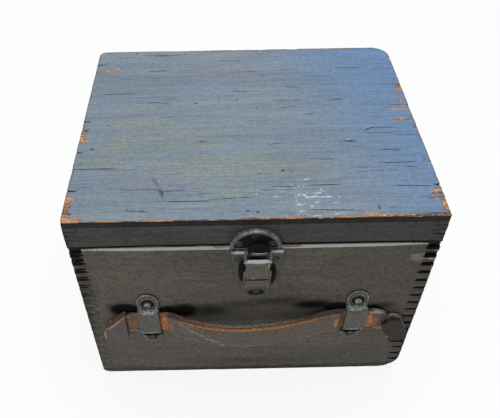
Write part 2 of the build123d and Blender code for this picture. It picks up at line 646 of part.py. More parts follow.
def strap_loop(side):
    """A bridge of bent strip with a round foot at each end, raised in a boss under its screw."""
    mid = LOOP_T / 2
    (foot, top), (low, high) = LOOP_END, LOOP_SLOPE_END
    lower = ((mid, -foot), (mid, -low), (LOOP_OUT - mid, -LOOP_BRIDGE_HALF_H))
    upper = ((LOOP_OUT - mid, LOOP_BRIDGE_HALF_H), (mid, high), (mid, top))
    path = FilletPolyline(*lower, *upper, radius=LOOP_BEND)
    bent = side_profile(Pos(0, LOOP_Z) * trace(path, line_width=LOOP_T), LOOP_W / 2, side * LOOP_X)
    plan = extrude(Rot(Z=90) * SlotOverall(foot + top, LOOP_W), amount=2 * LOOP_OUT)
    loop = bent & on_front(plan, side * LOOP_X, LOOP_Z + (top - foot) / 2)
    boss = extrude(Circle(LOOP_BOSS_R), amount=LOOP_BOSS_H)
    for x, z in loop_screw_places():
        if x * side > 0:
            loop += on_front(boss, x, z, LOOP_T)
            loop -= on_front(shank_hole(SMALL_SHANK_R, SMALL_SCREW_L), x, z, LOOP_T + LOOP_BOSS_H)
    return loop


def strap_loop_screws():
    """The round-head screws of both loops."""
    screw = round_screw(ROUND_HEAD_R, ROUND_HEAD_H, SMALL_SHANK_R, SMALL_SCREW_L)
    return [on_front(screw, x, z, LOOP_T + LOOP_BOSS_H) for x, z in loop_screw_places()]


def strap_z():
    """The height of the strap's middle: it rests on the lower slopes of the loops."""
    slope = LOOP_SLOPE_H[0] / (LOOP_OUT - LOOP_T)
    wall = LOOP_T / 2 * math.hypot(1, slope)
    outer = STRAP_OFF + STRAP_T
    inside_half_h = LOOP_SLOPE_END[0] - slope * (outer - LOOP_T / 2) - wall
    return LOOP_Z - inside_half_h + STRAP_W / 2 + STRAP_REST


def bow(out):
    """The bowed grip's curve, of four arcs, at a distance in front of the case. The arcs of every layer are concentric."""
    edges, start, heading = [], (BOW_LEFT_X, out), (1, 0)
    for foot_r, run in zip(BOW_FOOT_R, (BOW_PEAK_X - BOW_LEFT_X, BOW_RIGHT_X - BOW_PEAK_X)):
        turn = 2 * math.atan(BOW_RISE / run)
        crown_r = run / math.sin(turn) - foot_r
        arcs = [(foot_r - out, math.degrees(turn)), (crown_r + out, -math.degrees(turn))]
        for radius, size in arcs if not edges else reversed(arcs):
            arc = JernArc(start, heading, radius, size)
            edges.append(arc)
            start, heading = arc @ 1, arc % 1
    return edges


def strap_length(plan):
    """Extrude a strap's plan, drawn in x and out, to the strap's width."""
    low = strap_z() - STRAP_W / 2
    placed = Plane(origin=(0, -HALF_D, low), x_dir=(1, 0, 0), z_dir=(0, 0, -1)) * plan
    return extrude(placed, amount=-STRAP_W)


def strap():
    """The leather strap: flat tails that run in the loops, the right one drooping at its end, and the bow between."""
    near, far = STRAP_OFF, STRAP_OFF + STRAP_T
    left = Polyline((BOW_LEFT_X, near), (STRAP_LEFT_X, near), (STRAP_LEFT_X, far), (BOW_LEFT_X, far))
    right = Polyline((BOW_RIGHT_X, near), (STRAP_RIGHT_X, near), (STRAP_RIGHT_X, far), (BOW_RIGHT_X, far))
    droop = trace(FilletPolyline((-DROOP_LAP, 0), *droop_line(), radius=DROOP_R), line_width=STRAP_W)
    tail = on_front(extrude(droop, amount=STRAP_T), STRAP_RIGHT_X, strap_z(), STRAP_OFF)
    return strap_length(make_face([*bow(near), *bow(far), left, right])) + tail


def droop_line():
    """The corner and the end of the drooping tail's middle line, from where the straight tail ends."""
    tilt = math.radians(DROOP_TILT)
    corner = DROOP_R * math.tan(tilt / 2)
    return (corner, 0), (corner + DROOP_L * math.cos(tilt), -DROOP_L * math.sin(tilt))


def strap_grip():
    """The second thickness of leather on the bowed stretch."""
    near = STRAP_OFF + STRAP_T + GRIP_OFF
    far = near + GRIP_T
    ends = [Line((x, near), (x, far)) for x in (BOW_LEFT_X, BOW_RIGHT_X)]
    plan = make_face([*bow(near), *bow(far), *ends])
    length = BOW_RIGHT_X - BOW_LEFT_X - 2 * GRIP_CUT
    kept = Pos((BOW_LEFT_X + BOW_RIGHT_X) / 2, 0) * Rectangle(length, THROUGH * 2 * (far + BOW_RISE))
    return strap_length(plan & kept)


def strap_stop_left():
    """A D-shaped block of leather folded round the strap's end, too tall to pass the loop."""
    pad = Rectangle(STOP_L, STOP_H[0])
    pad = fillet(pad.vertices().group_by(Axis.X)[0].sort_by(Axis.Y)[0], STOP_ROUND[0])
    pad = fillet(pad.vertices().group_by(Axis.Y)[-1].sort_by(Axis.X)[0], STOP_ROUND[1])
    block = extrude(pad, amount=STRAP_T + STOP_T)
    return on_front(block, STRAP_LEFT_X - STOP_LIP[0] + STOP_L / 2, strap_z(), STRAP_OFF) - strap()


def strap_stop_right():
    """A rounded block of leather folded round the drooping end of the strap."""
    pad = Rectangle(STOP_L, STOP_H[1])
    for group, radius in zip((0, -1), STOP_DISC):
        pad = fillet(pad.vertices().group_by(Axis.X)[group], radius)
    end = Pos(*droop_line()[1]) * Rot(Z=-DROOP_TILT) * Pos(STOP_LIP[1] - STOP_L / 2, 0)
    block = extrude(end * pad, amount=STRAP_T + STOP_T)
    return on_front(block, STRAP_RIGHT_X, strap_z(), STRAP_OFF) - strap()


# ---- Inside fittings ----
def notch(radius_off=0.0):
    """The round seat cut across a saddle block, or that seat made smaller by its felt."""
    radius = (NOTCH_HALF_W**2 + NOTCH_DEPTH**2) / (2 * NOTCH_DEPTH)
    centre_z = PANEL + SADDLE_H - NOTCH_DEPTH + radius
    return Pos(0, 0, centre_z) * Rot(Y=90) * Cylinder(radius - radius_off, SADDLE_T)


def saddle_block(x):
    """A block across the case with a round seat for the instrument."""
    block = Pos(0, 0, PANEL + SADDLE_H / 2) * Box(SADDLE_T, INSIDE_D, SADDLE_H) - notch()
    if x == KEEPER_PIVOT_X:
        hole = shank_hole(SMALL_SHANK_R, KEEPER_SCREW_L - KEEPER_T - 2 * KEEPER_LIFT)
        block -= Pos(0, KEEPER_PIVOT_Y, PANEL + SADDLE_H) * hole
    return Pos(x, 0, 0) * block


def saddle_felt(x):
    """The felt lining of a saddle's seat."""
    slab = Pos(0, 0, PANEL + SADDLE_H / 2) * Box(SADDLE_T, INSIDE_D, SADDLE_H)
    return Pos(x, 0, 0) * ((slab & notch()) - notch(FELT_T))


def partition():
    """The board that closes off the accessory compartment, with a finger hole in its top edge."""
    board = Pos(PARTITION_X, 0, PANEL + PARTITION_H / 2) * Box(PARTITION_T, INSIDE_D, PARTITION_H)
    finger_hole = Rot(Y=90) * Cylinder(FINGER_HOLE_R, THROUGH * PARTITION_T)
    return board - Pos(PARTITION_X, 0, PANEL + PARTITION_H) * finger_hole


def keeper():
    """The wooden turn-button that swings over the instrument."""
    reach = KEEPER_L / 2 - KEEPER_PIVOT_FROM_END
    slab = extrude(Rot(Z=90) * SlotOverall(KEEPER_L, KEEPER_W), amount=KEEPER_T)
    button = Pos(KEEPER_PIVOT_X, KEEPER_PIVOT_Y - reach, KEEPER_Z) * slab
    bore = Cylinder(SMALL_SHANK_R + SCREW_CLEARANCE, THROUGH * KEEPER_T)
    return button - Pos(KEEPER_PIVOT_X, KEEPER_PIVOT_Y, KEEPER_Z + KEEPER_T / 2) * bore


def keeper_screw():
    """The screw that the keeper turns on, with a plain round shank through it."""
    neck_l = KEEPER_T + 2 * KEEPER_LIFT
    screw = round_screw(ROUND_HEAD_R, ROUND_HEAD_H, SMALL_SHANK_R, KEEPER_SCREW_L)
    neck = Pos(0, 0, -neck_l / 2) * Cylinder(SMALL_SHANK_R, neck_l)
    return Pos(KEEPER_PIVOT_X, KEEPER_PIVOT_Y, KEEPER_Z + KEEPER_T + KEEPER_LIFT) * (screw + neck)


def lid_pad(x):
    """A block under the lid that comes down over a saddle."""
    return Pos(x, 0, TOP_PANEL_Z - PAD_H / 2) * Box(PAD_W, PAD_L, PAD_H)


def lid_pad_felt(x):
    """The felt face of a lid pad."""
    return Pos(x, 0, TOP_PANEL_Z - PAD_H - FELT_T / 2) * Box(PAD_W, PAD_L, FELT_T)


def nodes():
    """Every node's name and its solids."""
    return {
        "front_board": front_board(),
        "back_board": back_board(),
        "left_board": side_board(-1),
        "right_board": side_board(1),
        "bottom_panel": bottom_panel(),
        "bottom_brads": brads(0, -1),
        "lid_front_rail": lid_front_rail(),
        "lid_back_rail": lid_back_rail(),
        "lid_left_rail": lid_side_rail(-1),
        "lid_right_rail": lid_side_rail(1),
        "lid_top_panel": lid_top_panel(),
        "lid_brads": brads(TOP_Z, 1),
        "hinge_case_leaf_left": hinge_leaf(-1, -1),
        "hinge_case_leaf_right": hinge_leaf(1, -1),
        "hinge_lid_leaf_left": hinge_leaf(-1, 1),
        "hinge_lid_leaf_right": hinge_leaf(1, 1),
        "hinge_pin_left": hinge_pin(-1),
        "hinge_pin_right": hinge_pin(1),
        "hinge_case_screws": hinge_screws(-1),
        "hinge_lid_screws": hinge_screws(1),
        "strike_plate": strike_plate(),
        "strike_screws": strike_screws(),
        "catch_base": catch_base(),
        "catch_base_screws": catch_base_screws(),
        "catch_lever_pin": lever_pin(),
        "catch_lever": catch_lever(),
        "draw_link": draw_link(),
        "draw_link_pin": link_pin(),
        "strap_loop_left": strap_loop(-1),
        "strap_loop_right": strap_loop(1),
        "strap_loop_screws": strap_loop_screws(),
        "strap": strap(),
        "strap_grip": strap_grip(),
        "strap_stop_left": strap_stop_left(),
        "strap_stop_right": strap_stop_right(),
        "saddle_left": saddle_block(SADDLE_X[0]),
        "saddle_right": saddle_block(SADDLE_X[1]),
        "saddle_felts": [saddle_felt(x) for x in SADDLE_X],
        "accessory_partition": partition(),
        "keeper": keeper(),
        "keeper_screw": keeper_screw(),
        "lid_pads": [lid_pad(x) for x in SADDLE_X],
        "lid_pad_felts": [lid_pad_felt(x) for x in SADDLE_X],
    }


def main():
    """Build every node and write it to parts/NODE.step."""
    os.makedirs("parts", exist_ok=True)
    for name, shape in nodes().items():
        solids = shape if isinstance(shape, (list, ShapeList)) else [shape]
        export_step(Compound(children=[Compound(s.solids()) for s in solids]), f"parts/{name}.step")


main()
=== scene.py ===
"""A weathered sextant box: paint, bare wood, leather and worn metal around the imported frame."""
from __future__ import annotations

import json
import logging
import math
import random
from collections.abc import Callable, Sequence
from dataclasses import dataclass, replace
from enum import Enum

import bmesh
import bpy
import numpy as np
from mathutils import Matrix, Vector, kdtree

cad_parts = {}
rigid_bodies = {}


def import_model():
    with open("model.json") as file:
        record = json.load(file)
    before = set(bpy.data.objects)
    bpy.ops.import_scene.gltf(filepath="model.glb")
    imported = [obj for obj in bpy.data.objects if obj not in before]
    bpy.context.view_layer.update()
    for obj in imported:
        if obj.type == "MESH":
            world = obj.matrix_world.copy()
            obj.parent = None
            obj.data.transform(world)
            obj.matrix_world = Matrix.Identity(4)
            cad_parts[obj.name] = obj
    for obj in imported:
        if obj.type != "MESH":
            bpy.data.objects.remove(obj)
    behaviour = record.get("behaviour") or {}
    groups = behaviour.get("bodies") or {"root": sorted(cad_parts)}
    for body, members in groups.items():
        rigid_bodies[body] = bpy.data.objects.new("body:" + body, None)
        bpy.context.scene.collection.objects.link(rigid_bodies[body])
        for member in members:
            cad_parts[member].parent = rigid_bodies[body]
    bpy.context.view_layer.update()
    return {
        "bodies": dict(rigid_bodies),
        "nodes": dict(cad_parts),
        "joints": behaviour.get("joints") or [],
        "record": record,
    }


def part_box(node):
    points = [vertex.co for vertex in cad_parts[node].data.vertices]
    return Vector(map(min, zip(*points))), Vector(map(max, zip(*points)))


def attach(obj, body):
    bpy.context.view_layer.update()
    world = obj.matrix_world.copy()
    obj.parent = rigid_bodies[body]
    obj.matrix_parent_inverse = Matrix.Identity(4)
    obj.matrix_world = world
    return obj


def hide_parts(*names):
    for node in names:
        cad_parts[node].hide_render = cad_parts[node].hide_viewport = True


LOG = logging.getLogger("sextant_box")
MM = 0.001

Socket = bpy.types.NodeSocket
Colour = tuple[float, float, float]
Triple = tuple[float, float, float]
Points = np.ndarray


class Channel(Enum):
    """What a mark does to the finish, be it a mark of age, painted shade or a painted highlight; the value is
    the name that the shaders read.
    """

    WORN = "worn"
    DARK = "dark"
    PALE = "pale"
    TINT = "tint"


WORN, DARK, PALE, TINT = Channel


# ---------------------------------------------------------------- shader trees


class Tree:
    """Adds and links nodes in one shader tree or shader group."""

    def __init__(self, tree: bpy.types.NodeTree) -> None:
        """Keep the tree that the nodes go into.

        Args:
            tree: the node tree of a material or of a group.
        """
        self.tree = tree

    def add(self, kind: str, **settings: object) -> bpy.types.Node:
        """Add one node and set its plain properties.

        Args:
            kind: the node's type name.
            **settings: properties of the node, by name.

        Returns:
            The new node.
        """
        node = self.tree.nodes.new(kind)
        for name, value in settings.items():
            setattr(node, name, value)
        return node

    def made(self, kind: str, feeds: dict[str | int, object], **settings: object) -> Socket:
        """Add one node and feed it.

        Args:
            kind: the node's type name.
            feeds: what goes into its inputs, by their names or numbers.
            **settings: properties of the node, by name.

        Returns:
            The node's first output.
        """
        node = self.add(kind, **settings)
        for key, value in feeds.items():
            self.feed(node.inputs[key], value)
        return node.outputs[0]

    def feed(self, socket: Socket, value: object) -> None:
        """Link a socket into another, or set a plain value on it.

        Args:
            socket: the input to feed.
            value: an output socket, a number, a colour or a vector.
        """
        if isinstance(value, Socket):
            self.tree.links.new(value, socket)
        elif isinstance(value, tuple) and len(value) == 3 and socket.type == "RGBA":
            socket.default_value = (*value, 1.0)
        else:
            socket.default_value = value

    def math(self, operation: str, first: object, second: object = None,
             clamp: bool = False) -> Socket:
        """Add a Math node.

        Args:
            operation: the node's operation.
            first: the first operand.
            second: the second operand, where there is one.
            clamp: keep the result between 0 and 1.

        Returns:
            The node's value.
        """
        feeds = {0: first} if second is None else {0: first, 1: second}
        return self.made("ShaderNodeMath", feeds, operation=operation, use_clamp=clamp)

    def times(self, first: object, second: object, clamp: bool = False) -> Socket:
        """Multiply two values."""
        return self.math("MULTIPLY", first, second, clamp)

    def plus(self, first: object, second: object, clamp: bool = False) -> Socket:
        """Add two values."""
        return self.math("ADD", first, second, clamp)

    def minus(self, first: object, second: object, clamp: bool = False) -> Socket:
        """Take the second value from the first."""
        return self.math("SUBTRACT", first, second, clamp)

    def centred(self, noise: object, reach: object) -> Socket:
        """Centre a noise on 0 and give it a reach."""
        return self.times(self.minus(noise, 0.5), reach)

    def blend(self, share: object, first: object, second: object,
              mode: str = "MIX") -> Socket:
        """Mix two colours.

        Args:
            share: how much of the second colour shows.
            first: the colour at 0.
            second: the colour at 1.
            mode: the blend type.

        Returns:
            The mixed colour.
        """
        node = self.add("ShaderNodeMix", data_type="RGBA", blend_type=mode)
        self.feed(node.inputs["Factor"], share)
        self.feed(node.inputs[6], first)
        self.feed(node.inputs[7], second)
        return node.outputs[2]

    def coat(self, under: object, over: object, mask: object, share: float) -> Socket:
        """Lay one colour over another, where a mask is and as strongly as the share says."""
        return self.blend(self.times(mask, share), under, over)

    def shade(self, colour: object, level: object) -> Socket:
        """Darken or brighten a colour by a level."""
        grey = self.made("ShaderNodeCombineColor", {0: level, 1: level, 2: level})
        return self.blend(1.0, colour, grey, "MULTIPLY")

    def steps(self, value: object, low: float, high: float, start: float = 0.0,
              end: float = 1.0) -> Socket:
        """Turn a value into a soft step between two bounds.

        Args:
            value: the value to read.
            low: where the step starts.
            high: where it ends.
            start: the result below low.
            end: the result above high.

        Returns:
            The stepped value.
        """
        feeds = {0: value, 1: low, 2: high, 3: start, 4: end}
        return self.made("ShaderNodeMapRange", feeds, interpolation_type="SMOOTHSTEP")

    def stretched(self, vector: object, scale: Triple) -> Socket:
        """Scale a pattern's coordinates, axis by axis.

        Args:
            vector: the coordinates.
            scale: how many pattern units a metre holds along X, Y and Z.

        Returns:
            The scaled coordinates.
        """
        return self.made("ShaderNodeMapping", {"Vector": vector, "Scale": scale})

    def noise(self, vector: object, scale: float, detail: float = 3.0, rough: float = 0.55,
              warp: float = 0.0) -> Socket:
        """Add a Noise Texture and return its value.

        Args:
            vector: the coordinates.
            scale: the pattern's scale.
            detail: how many octaves it has.
            rough: how strong the finer octaves are.
            warp: how much it is distorted.

        Returns:
            The noise, about 0.5 on average.
        """
        return self.made("ShaderNodeTexNoise", {"Vector": vector, "Scale": scale, "Detail": detail,
                                                "Roughness": rough, "Distortion": warp})

    def turn(self, vector: object) -> Socket:
        """Turn a pattern's coordinates a quarter round, so that what runs along X runs along Y."""
        return self.made("ShaderNodeMapping", {"Vector": vector, "Rotation": (0.0, 0.0, math.pi / 2.0)})

    def xyz(self, x: object, y: object, z: object) -> Socket:
        """Make a vector out of three values."""
        return self.made("ShaderNodeCombineXYZ", {0: x, 1: y, 2: z})

    def parts(self, vector: Socket) -> bpy.types.bpy_prop_collection:
        """Take a vector apart.

        Args:
            vector: the vector.

        Returns:
            Its X, Y and Z.
        """
        node = self.add("ShaderNodeSeparateXYZ")
        self.feed(node.inputs[0], vector)
        return node.outputs

    def read(self, channel: Channel) -> Socket:
        """Read how strong a channel of the marks of age, painted shade and painted highlights is."""
        return self.add("ShaderNodeAttribute", attribute_name=channel.value).outputs["Fac"]

    def group(self, tree: bpy.types.NodeTree, **values: object) -> bpy.types.bpy_prop_collection:
        """Place a shared group and feed its named inputs.

        Args:
            tree: the group's tree.
            **values: what to feed to each input.

        Returns:
            The group's outputs, by name.
        """
        node = self.add("ShaderNodeGroup", node_tree=tree)
        for name, value in values.items():
            self.feed(node.inputs[name], value)
        return node.outputs


class SharedGroups:
    """The shader groups that several finishes place, each built once."""

    def __init__(self) -> None:
        """Build every group."""
        self.wear = self._wear()
        self.grain = self._grain()
        self.grime = self._grime()
        self.cracks = self._cracks()

    @staticmethod
    def _start(name: str, inputs: dict[str, float], outputs: Sequence[str]) -> tuple[Tree, dict, dict]:
        """Open a new group with a Vector input.

        Args:
            name: the group's name.
            inputs: each number that it takes, with its usual value.
            outputs: the values that it gives.

        Returns:
            The tree, its inputs as sockets and its outputs as sockets, by name.
        """
        group = bpy.data.node_groups.new(name, "ShaderNodeTree")
        group.interface.new_socket("Vector", in_out="INPUT", socket_type="NodeSocketVector")
        for label, value in inputs.items():
            socket = group.interface.new_socket(label, in_out="INPUT", socket_type="NodeSocketFloat")
            socket.default_value = value
        for label in outputs:
            group.interface.new_socket(label, in_out="OUTPUT", socket_type="NodeSocketFloat")
        tree = Tree(group)
        start = tree.add("NodeGroupInput")
        end = tree.add("NodeGroupOutput")
        ins = {socket.name: socket for socket in start.outputs if socket.name}
        outs = {socket.name: socket for socket in end.inputs if socket.name}
        return tree, ins, outs

    def _wear(self) -> bpy.types.NodeTree:
        """Make ragged patches of wear out of a smooth worn value."""
        (tree, ins, outs) = self._start("Ragged Wear", {"Worn": 0.0, "Ragged": 0.5, "Grit": 420.0},
                                        ["Mask", "Rim"])
        coarse = tree.noise(ins["Vector"], ins["Grit"], 4.0, 0.65)
        slow = tree.noise(ins["Vector"], tree.times(ins["Grit"], 0.22), 2.0)
        both = tree.plus(tree.times(coarse, 0.6), tree.times(slow, 0.4))
        shift = tree.centred(both, tree.times(ins["Ragged"], 2.4))
        level = tree.plus(ins["Worn"], shift)
        tree.feed(outs["Mask"], tree.steps(level, 0.46, 0.56))
        inner = tree.steps(level, 0.54, 0.66)
        tree.feed(outs["Rim"], tree.minus(tree.steps(level, 0.36, 0.47), inner, True))
        return tree.tree

    def _grain(self) -> bpy.types.NodeTree:
        """Make wood grain: broad bands, fine fibre and dark pores along X."""
        (tree, ins, outs) = self._start("Wood Grain", {"Bands": 26.0, "Fibre": 700.0},
                                        ["Bands", "Fibre", "Pores"])
        slow = tree.stretched(ins["Vector"], (0.16, 1.0, 1.0))
        bands = tree.noise(slow, ins["Bands"], 2.0, 0.5, 1.2)
        rings = tree.math("FRACT", tree.times(bands, 9.0))
        tree.feed(outs["Bands"], tree.math("ABSOLUTE", tree.minus(tree.times(rings, 2.0), 1.0)))
        thin = tree.stretched(ins["Vector"], (0.03, 1.0, 1.0))
        fibre = tree.noise(thin, ins["Fibre"], 3.0, 0.6)
        tree.feed(outs["Fibre"], fibre)
        pores = tree.noise(tree.stretched(ins["Vector"], (0.07, 1.0, 1.0)), tree.times(ins["Fibre"], 1.7),
                           1.0)
        tree.feed(outs["Pores"], tree.steps(pores, 0.66, 0.74))
        return tree.tree

    def _grime(self) -> bpy.types.NodeTree:
        """Make slow stain patches, mottling and fine specks."""
        tree, ins, outs = self._start("Grime", {"Size": 30.0}, ["Stain", "Mottle", "Specks"])
        stain = tree.noise(ins["Vector"], ins["Size"], 3.0, 0.55, 0.6)
        tree.feed(outs["Stain"], tree.steps(stain, 0.38, 0.66))
        mottle = tree.noise(ins["Vector"], tree.times(ins["Size"], 9.0), 4.0, 0.65)
        tree.feed(outs["Mottle"], tree.steps(mottle, 0.3, 0.7))
        specks = tree.noise(ins["Vector"], tree.times(ins["Size"], 45.0), 2.0, 0.5)
        tree.feed(outs["Specks"], tree.steps(specks, 0.66, 0.74))
        return tree.tree

    def _cracks(self) -> bpy.types.NodeTree:
        """Make short hairline checks in paint that run along X."""
        (tree, ins, outs) = self._start("Hairline Checks", {"Count": 120.0, "Length": 0.045},
                                        ["Lines", "Depth"])
        scale = tree.xyz(ins["Length"], 1.0, 1.0)
        drawn = tree.made("ShaderNodeVectorMath", {0: ins["Vector"], 1: scale}, operation="MULTIPLY")
        flow = tree.noise(drawn, ins["Count"], 2.0, 0.5, 0.3)
        level = tree.math("ABSOLUTE", tree.minus(tree.math("FRACT", tree.times(flow, 14.0)), 0.5))
        line = tree.minus(1.0, tree.steps(level, 0.0, 0.09), True)
        where = tree.noise(tree.stretched(ins["Vector"], (12.0, 90.0, 90.0)), 1.0, 2.0, 0.6)
        lines = tree.times(line, tree.steps(where, 0.5, 0.62))
        tree.feed(outs["Lines"], lines)
        tree.feed(outs["Depth"], tree.times(lines, where))
        return tree.tree


# ------------------------------------------------------------------- finishes


@dataclass(frozen=True)
class Finish:
    """What every finish has: a name, and the ways to open its material, dull it and emboss it."""

    name: str

    def start(self) -> tuple[Tree, bpy.types.Material, bpy.types.Node, Socket]:
        """Open the material.

        Returns:
            The tree, the material, its shader and its Object coordinates.
        """
        material = bpy.data.materials.new(self.name)
        material.use_nodes = True
        tree = Tree(material.node_tree)
        shader = material.node_tree.nodes["Principled BSDF"]
        place = tree.add("ShaderNodeTexCoord").outputs["Object"]
        return tree, material, shader, place

    @staticmethod
    def dull(tree: Tree, shader: bpy.types.Node, soot_and_shade: object, level: float) -> None:
        """Take the reflection away where soot and painted shade lie.

        Args:
            tree: the material's tree.
            shader: its shader.
            soot_and_shade: where soot and painted shade lie, from 0 to 1.
            level: the reflection of the clean surface.
        """
        clean = tree.minus(1.0, soot_and_shade, True)
        tree.feed(shader.inputs["Specular IOR Level"], tree.times(clean, level))

    @staticmethod
    def emboss(tree: Tree, shader: bpy.types.Node, height: object, distance: float) -> None:
        """Give the surface a fine relief.

        Args:
            tree: the material's tree.
            shader: its shader.
            height: the relief, from 0 to 1.
            distance: what 1 stands for, in metres.
        """
        bump = tree.made("ShaderNodeBump", {"Strength": 1.0, "Distance": distance, "Height": height})
        tree.feed(shader.inputs["Normal"], bump)


@dataclass(frozen=True)
class WeatheredPaint(Finish):
    """Old paint on a board: streaked and checked along the grain, stained, rubbed off its arrises, and
    carrying painted shade and painted highlights from its marks.
    """

    # These defaults paint the lid's upper face: slate paint whose light blue tone is partly painted sky
    # sheen, with a painted sky reflection that grows towards the right.
    ground: Colour = (0.15, 0.205, 0.262)
    second: Colour = (0.2, 0.235, 0.22)
    third: Colour = (0.17, 0.19, 0.265)
    right: Colour = (0.1, 0.195, 0.36)
    deep: Colour = (0.02, 0.023, 0.028)
    bare: Colour = (0.42, 0.21, 0.095)
    bare_dark: Colour = (0.13, 0.055, 0.024)
    bare_pale: Colour = (0.62, 0.42, 0.27)
    rim: Colour = (0.05, 0.035, 0.025)
    pale: Colour = (0.46, 0.5, 0.62)
    streaks: tuple[float, float] = (0.6, 0.45)
    blueing: float = 0.85
    mottle: float = 0.16
    checks: float = 0.6
    gloss: float = 0.46
    olive: Colour = (0.205, 0.22, 0.185)
    lilac: Colour = (0.17, 0.165, 0.245)
    dusk: Colour = (0.105, 0.145, 0.19)
    broad: float = 0.45
    speckle: float = 0.12
    mirror: float = 0.32
    relief: float = 0.1 * MM
    turned: bool = False

    def build(self, shared: SharedGroups) -> bpy.types.Material:
        """Build the material.

        Args:
            shared: the shader groups.

        Returns:
            The material.
        """
        tree, material, shader, place = self.start()
        grained = tree.turn(place) if self.turned else place
        grime = tree.group(shared.grime, Vector=place, Size=24.0)
        grain = tree.group(shared.grain, Vector=grained, Bands=22.0, Fibre=650.0)
        cracks = tree.group(shared.cracks, Vector=grained)
        colour = self._ground(tree, place, grained)
        dim = tree.steps(grain["Fibre"], 0.38, 0.62, 1.0 - self.mottle, 1.0)
        colour = tree.shade(colour, dim)
        dim = tree.steps(grime["Mottle"], 0.1, 0.9, 1.0, 1.0 - self.mottle * 0.6)
        colour = tree.shade(colour, dim)
        grit = tree.noise(tree.stretched(grained, (0.55, 1.0, 1.0)), 560.0, 3.0, 0.75)
        dim = tree.steps(grit, 0.3, 0.7, 1.0 - 1.3 * self.speckle, 1.0 + self.speckle)
        colour = tree.shade(colour, dim)
        colour = tree.coat(colour, self.deep, grime["Specks"], 0.4)
        colour = tree.coat(colour, self.deep, cracks["Lines"], self.checks)
        fine = tree.noise(place, 900.0, 2.0, 0.6)
        # Pale marks: chalky scuffs and flecks, and painted highlights on the raised lips of gouges.
        chalk_and_highlight = tree.plus(tree.read(PALE), tree.centred(fine, 1.3))
        colour = tree.blend(tree.steps(chalk_and_highlight, 0.42, 0.62, 0.0, 0.85), colour, self.pale)
        splintered = tree.stretched(grained, (0.22, 1.0, 1.0))
        wear = tree.group(shared.wear, Vector=splintered, Worn=tree.read(WORN), Ragged=0.6)
        timber = tree.blend(tree.steps(grain["Fibre"], 0.4, 0.58), self.bare_dark, self.bare)
        timber = tree.blend(tree.steps(grit, 0.52, 0.66, 0.0, 0.8), timber, self.bare_pale)
        colour = tree.coat(colour, self.rim, wear["Rim"], 0.85)
        colour = tree.blend(wear["Mask"], colour, timber)
        # Dark marks: soot, splits and pits, and painted shade in seams, joint gaps, gouges and round the
        # loops.
        soot_and_shade = tree.plus(tree.read(DARK), tree.centred(fine, 0.5))
        soot_and_shade = tree.steps(soot_and_shade, 0.15, 0.75)
        colour = tree.blend(soot_and_shade, colour, self.deep)
        tree.feed(shader.inputs["Base Color"], colour)
        self.dull(tree, shader, soot_and_shade, self.mirror)
        rough = tree.plus(self.gloss, tree.times(grime["Mottle"], 0.16))
        dry = tree.times(wear["Mask"], 0.8 - self.gloss)
        tree.feed(shader.inputs["Roughness"], tree.plus(rough, dry, True))
        ridge = tree.minus(tree.times(grain["Fibre"], 0.5), cracks["Depth"])
        ridge = tree.minus(ridge, tree.times(wear["Mask"], 0.5))
        self.emboss(tree, shader, ridge, self.relief)
        return material

    def _ground(self, tree: Tree, place: Socket,
                grained: Socket) -> Socket:
        """Lay the paint's colour in long soft streaks, and shift it along X towards the right-hand colour.

        Args:
            tree: the material's tree.
            place: the Object coordinates.
            grained: the same, turned so that the grain runs along X.

        Returns:
            The colour.
        """
        broad = tree.noise(tree.stretched(grained, (7.0, 24.0, 24.0)), 1.0, 4.0, 0.62, 0.7)
        long = tree.noise(tree.stretched(grained, (10.0, 85.0, 85.0)), 1.0, 4.0, 0.62, 0.5)
        short = tree.noise(tree.stretched(grained, (34.0, 230.0, 230.0)), 1.0, 3.0, 0.6, 0.3)
        first = tree.steps(long, 0.42, 0.62, 0.0, self.streaks[0])
        other = tree.steps(short, 0.48, 0.66, 0.0, self.streaks[1])
        colour = tree.blend(first, self.ground, self.second)
        colour = tree.blend(other, colour, self.third)
        colour = tree.blend(tree.steps(broad, 0.46, 0.66, 0.0, self.broad), colour, self.dusk)
        tint = tree.times(tree.read(TINT), tree.steps(long, 0.36, 0.58, 0.3, 1.0))
        colour = tree.blend(tree.times(tint, 1.0, True), colour, self.olive)
        colour = tree.blend(tree.times(tint, -1.0, True), colour, self.lilac)
        # Along X the colour shifts towards the right-hand colour: on the lid's upper face this is a painted
        # sky reflection, bluer to the right; on the boards it only darkens them towards the right.
        split = tree.parts(place)
        drift = tree.centred(long, 0.14)
        edge = tree.plus(tree.plus(split[0], drift), tree.times(split[1], 0.25))
        return tree.blend(tree.steps(edge, 0.02, 0.15, 0.0, self.blueing), colour, self.right)


@dataclass(frozen=True)
class BareTimber(Finish):
    """Varnished wood inside the case, where no paint was laid."""

    light: Colour = (0.4, 0.23, 0.1)
    dark: Colour = (0.2, 0.1, 0.04)
    bands: float = 30.0
    gloss: float = 0.42

    def build(self, shared: SharedGroups) -> bpy.types.Material:
        """Build the material.

        Args:
            shared: the shader groups.

        Returns:
            The material.
        """
        tree, material, shader, place = self.start()
        grain = tree.group(shared.grain, Vector=place, Bands=self.bands, Fibre=520.0)
        grime = tree.group(shared.grime, Vector=place, Size=18.0)
        colour = tree.blend(grain["Bands"], self.dark, self.light)
        colour = tree.blend(tree.times(grain["Fibre"], 0.5), colour, self.dark, "MULTIPLY")
        colour = tree.coat(colour, self.dark, grain["Pores"], 0.5)
        colour = tree.coat(colour, self.dark, grime["Stain"], 0.35)
        tree.feed(shader.inputs["Base Color"], colour)
        tree.feed(shader.inputs["Roughness"],
                  tree.steps(grain["Fibre"], 0.2, 0.9, self.gloss, self.gloss + 0.2))
        self.emboss(tree, shader, grain["Fibre"], 0.12 * MM)
        return material


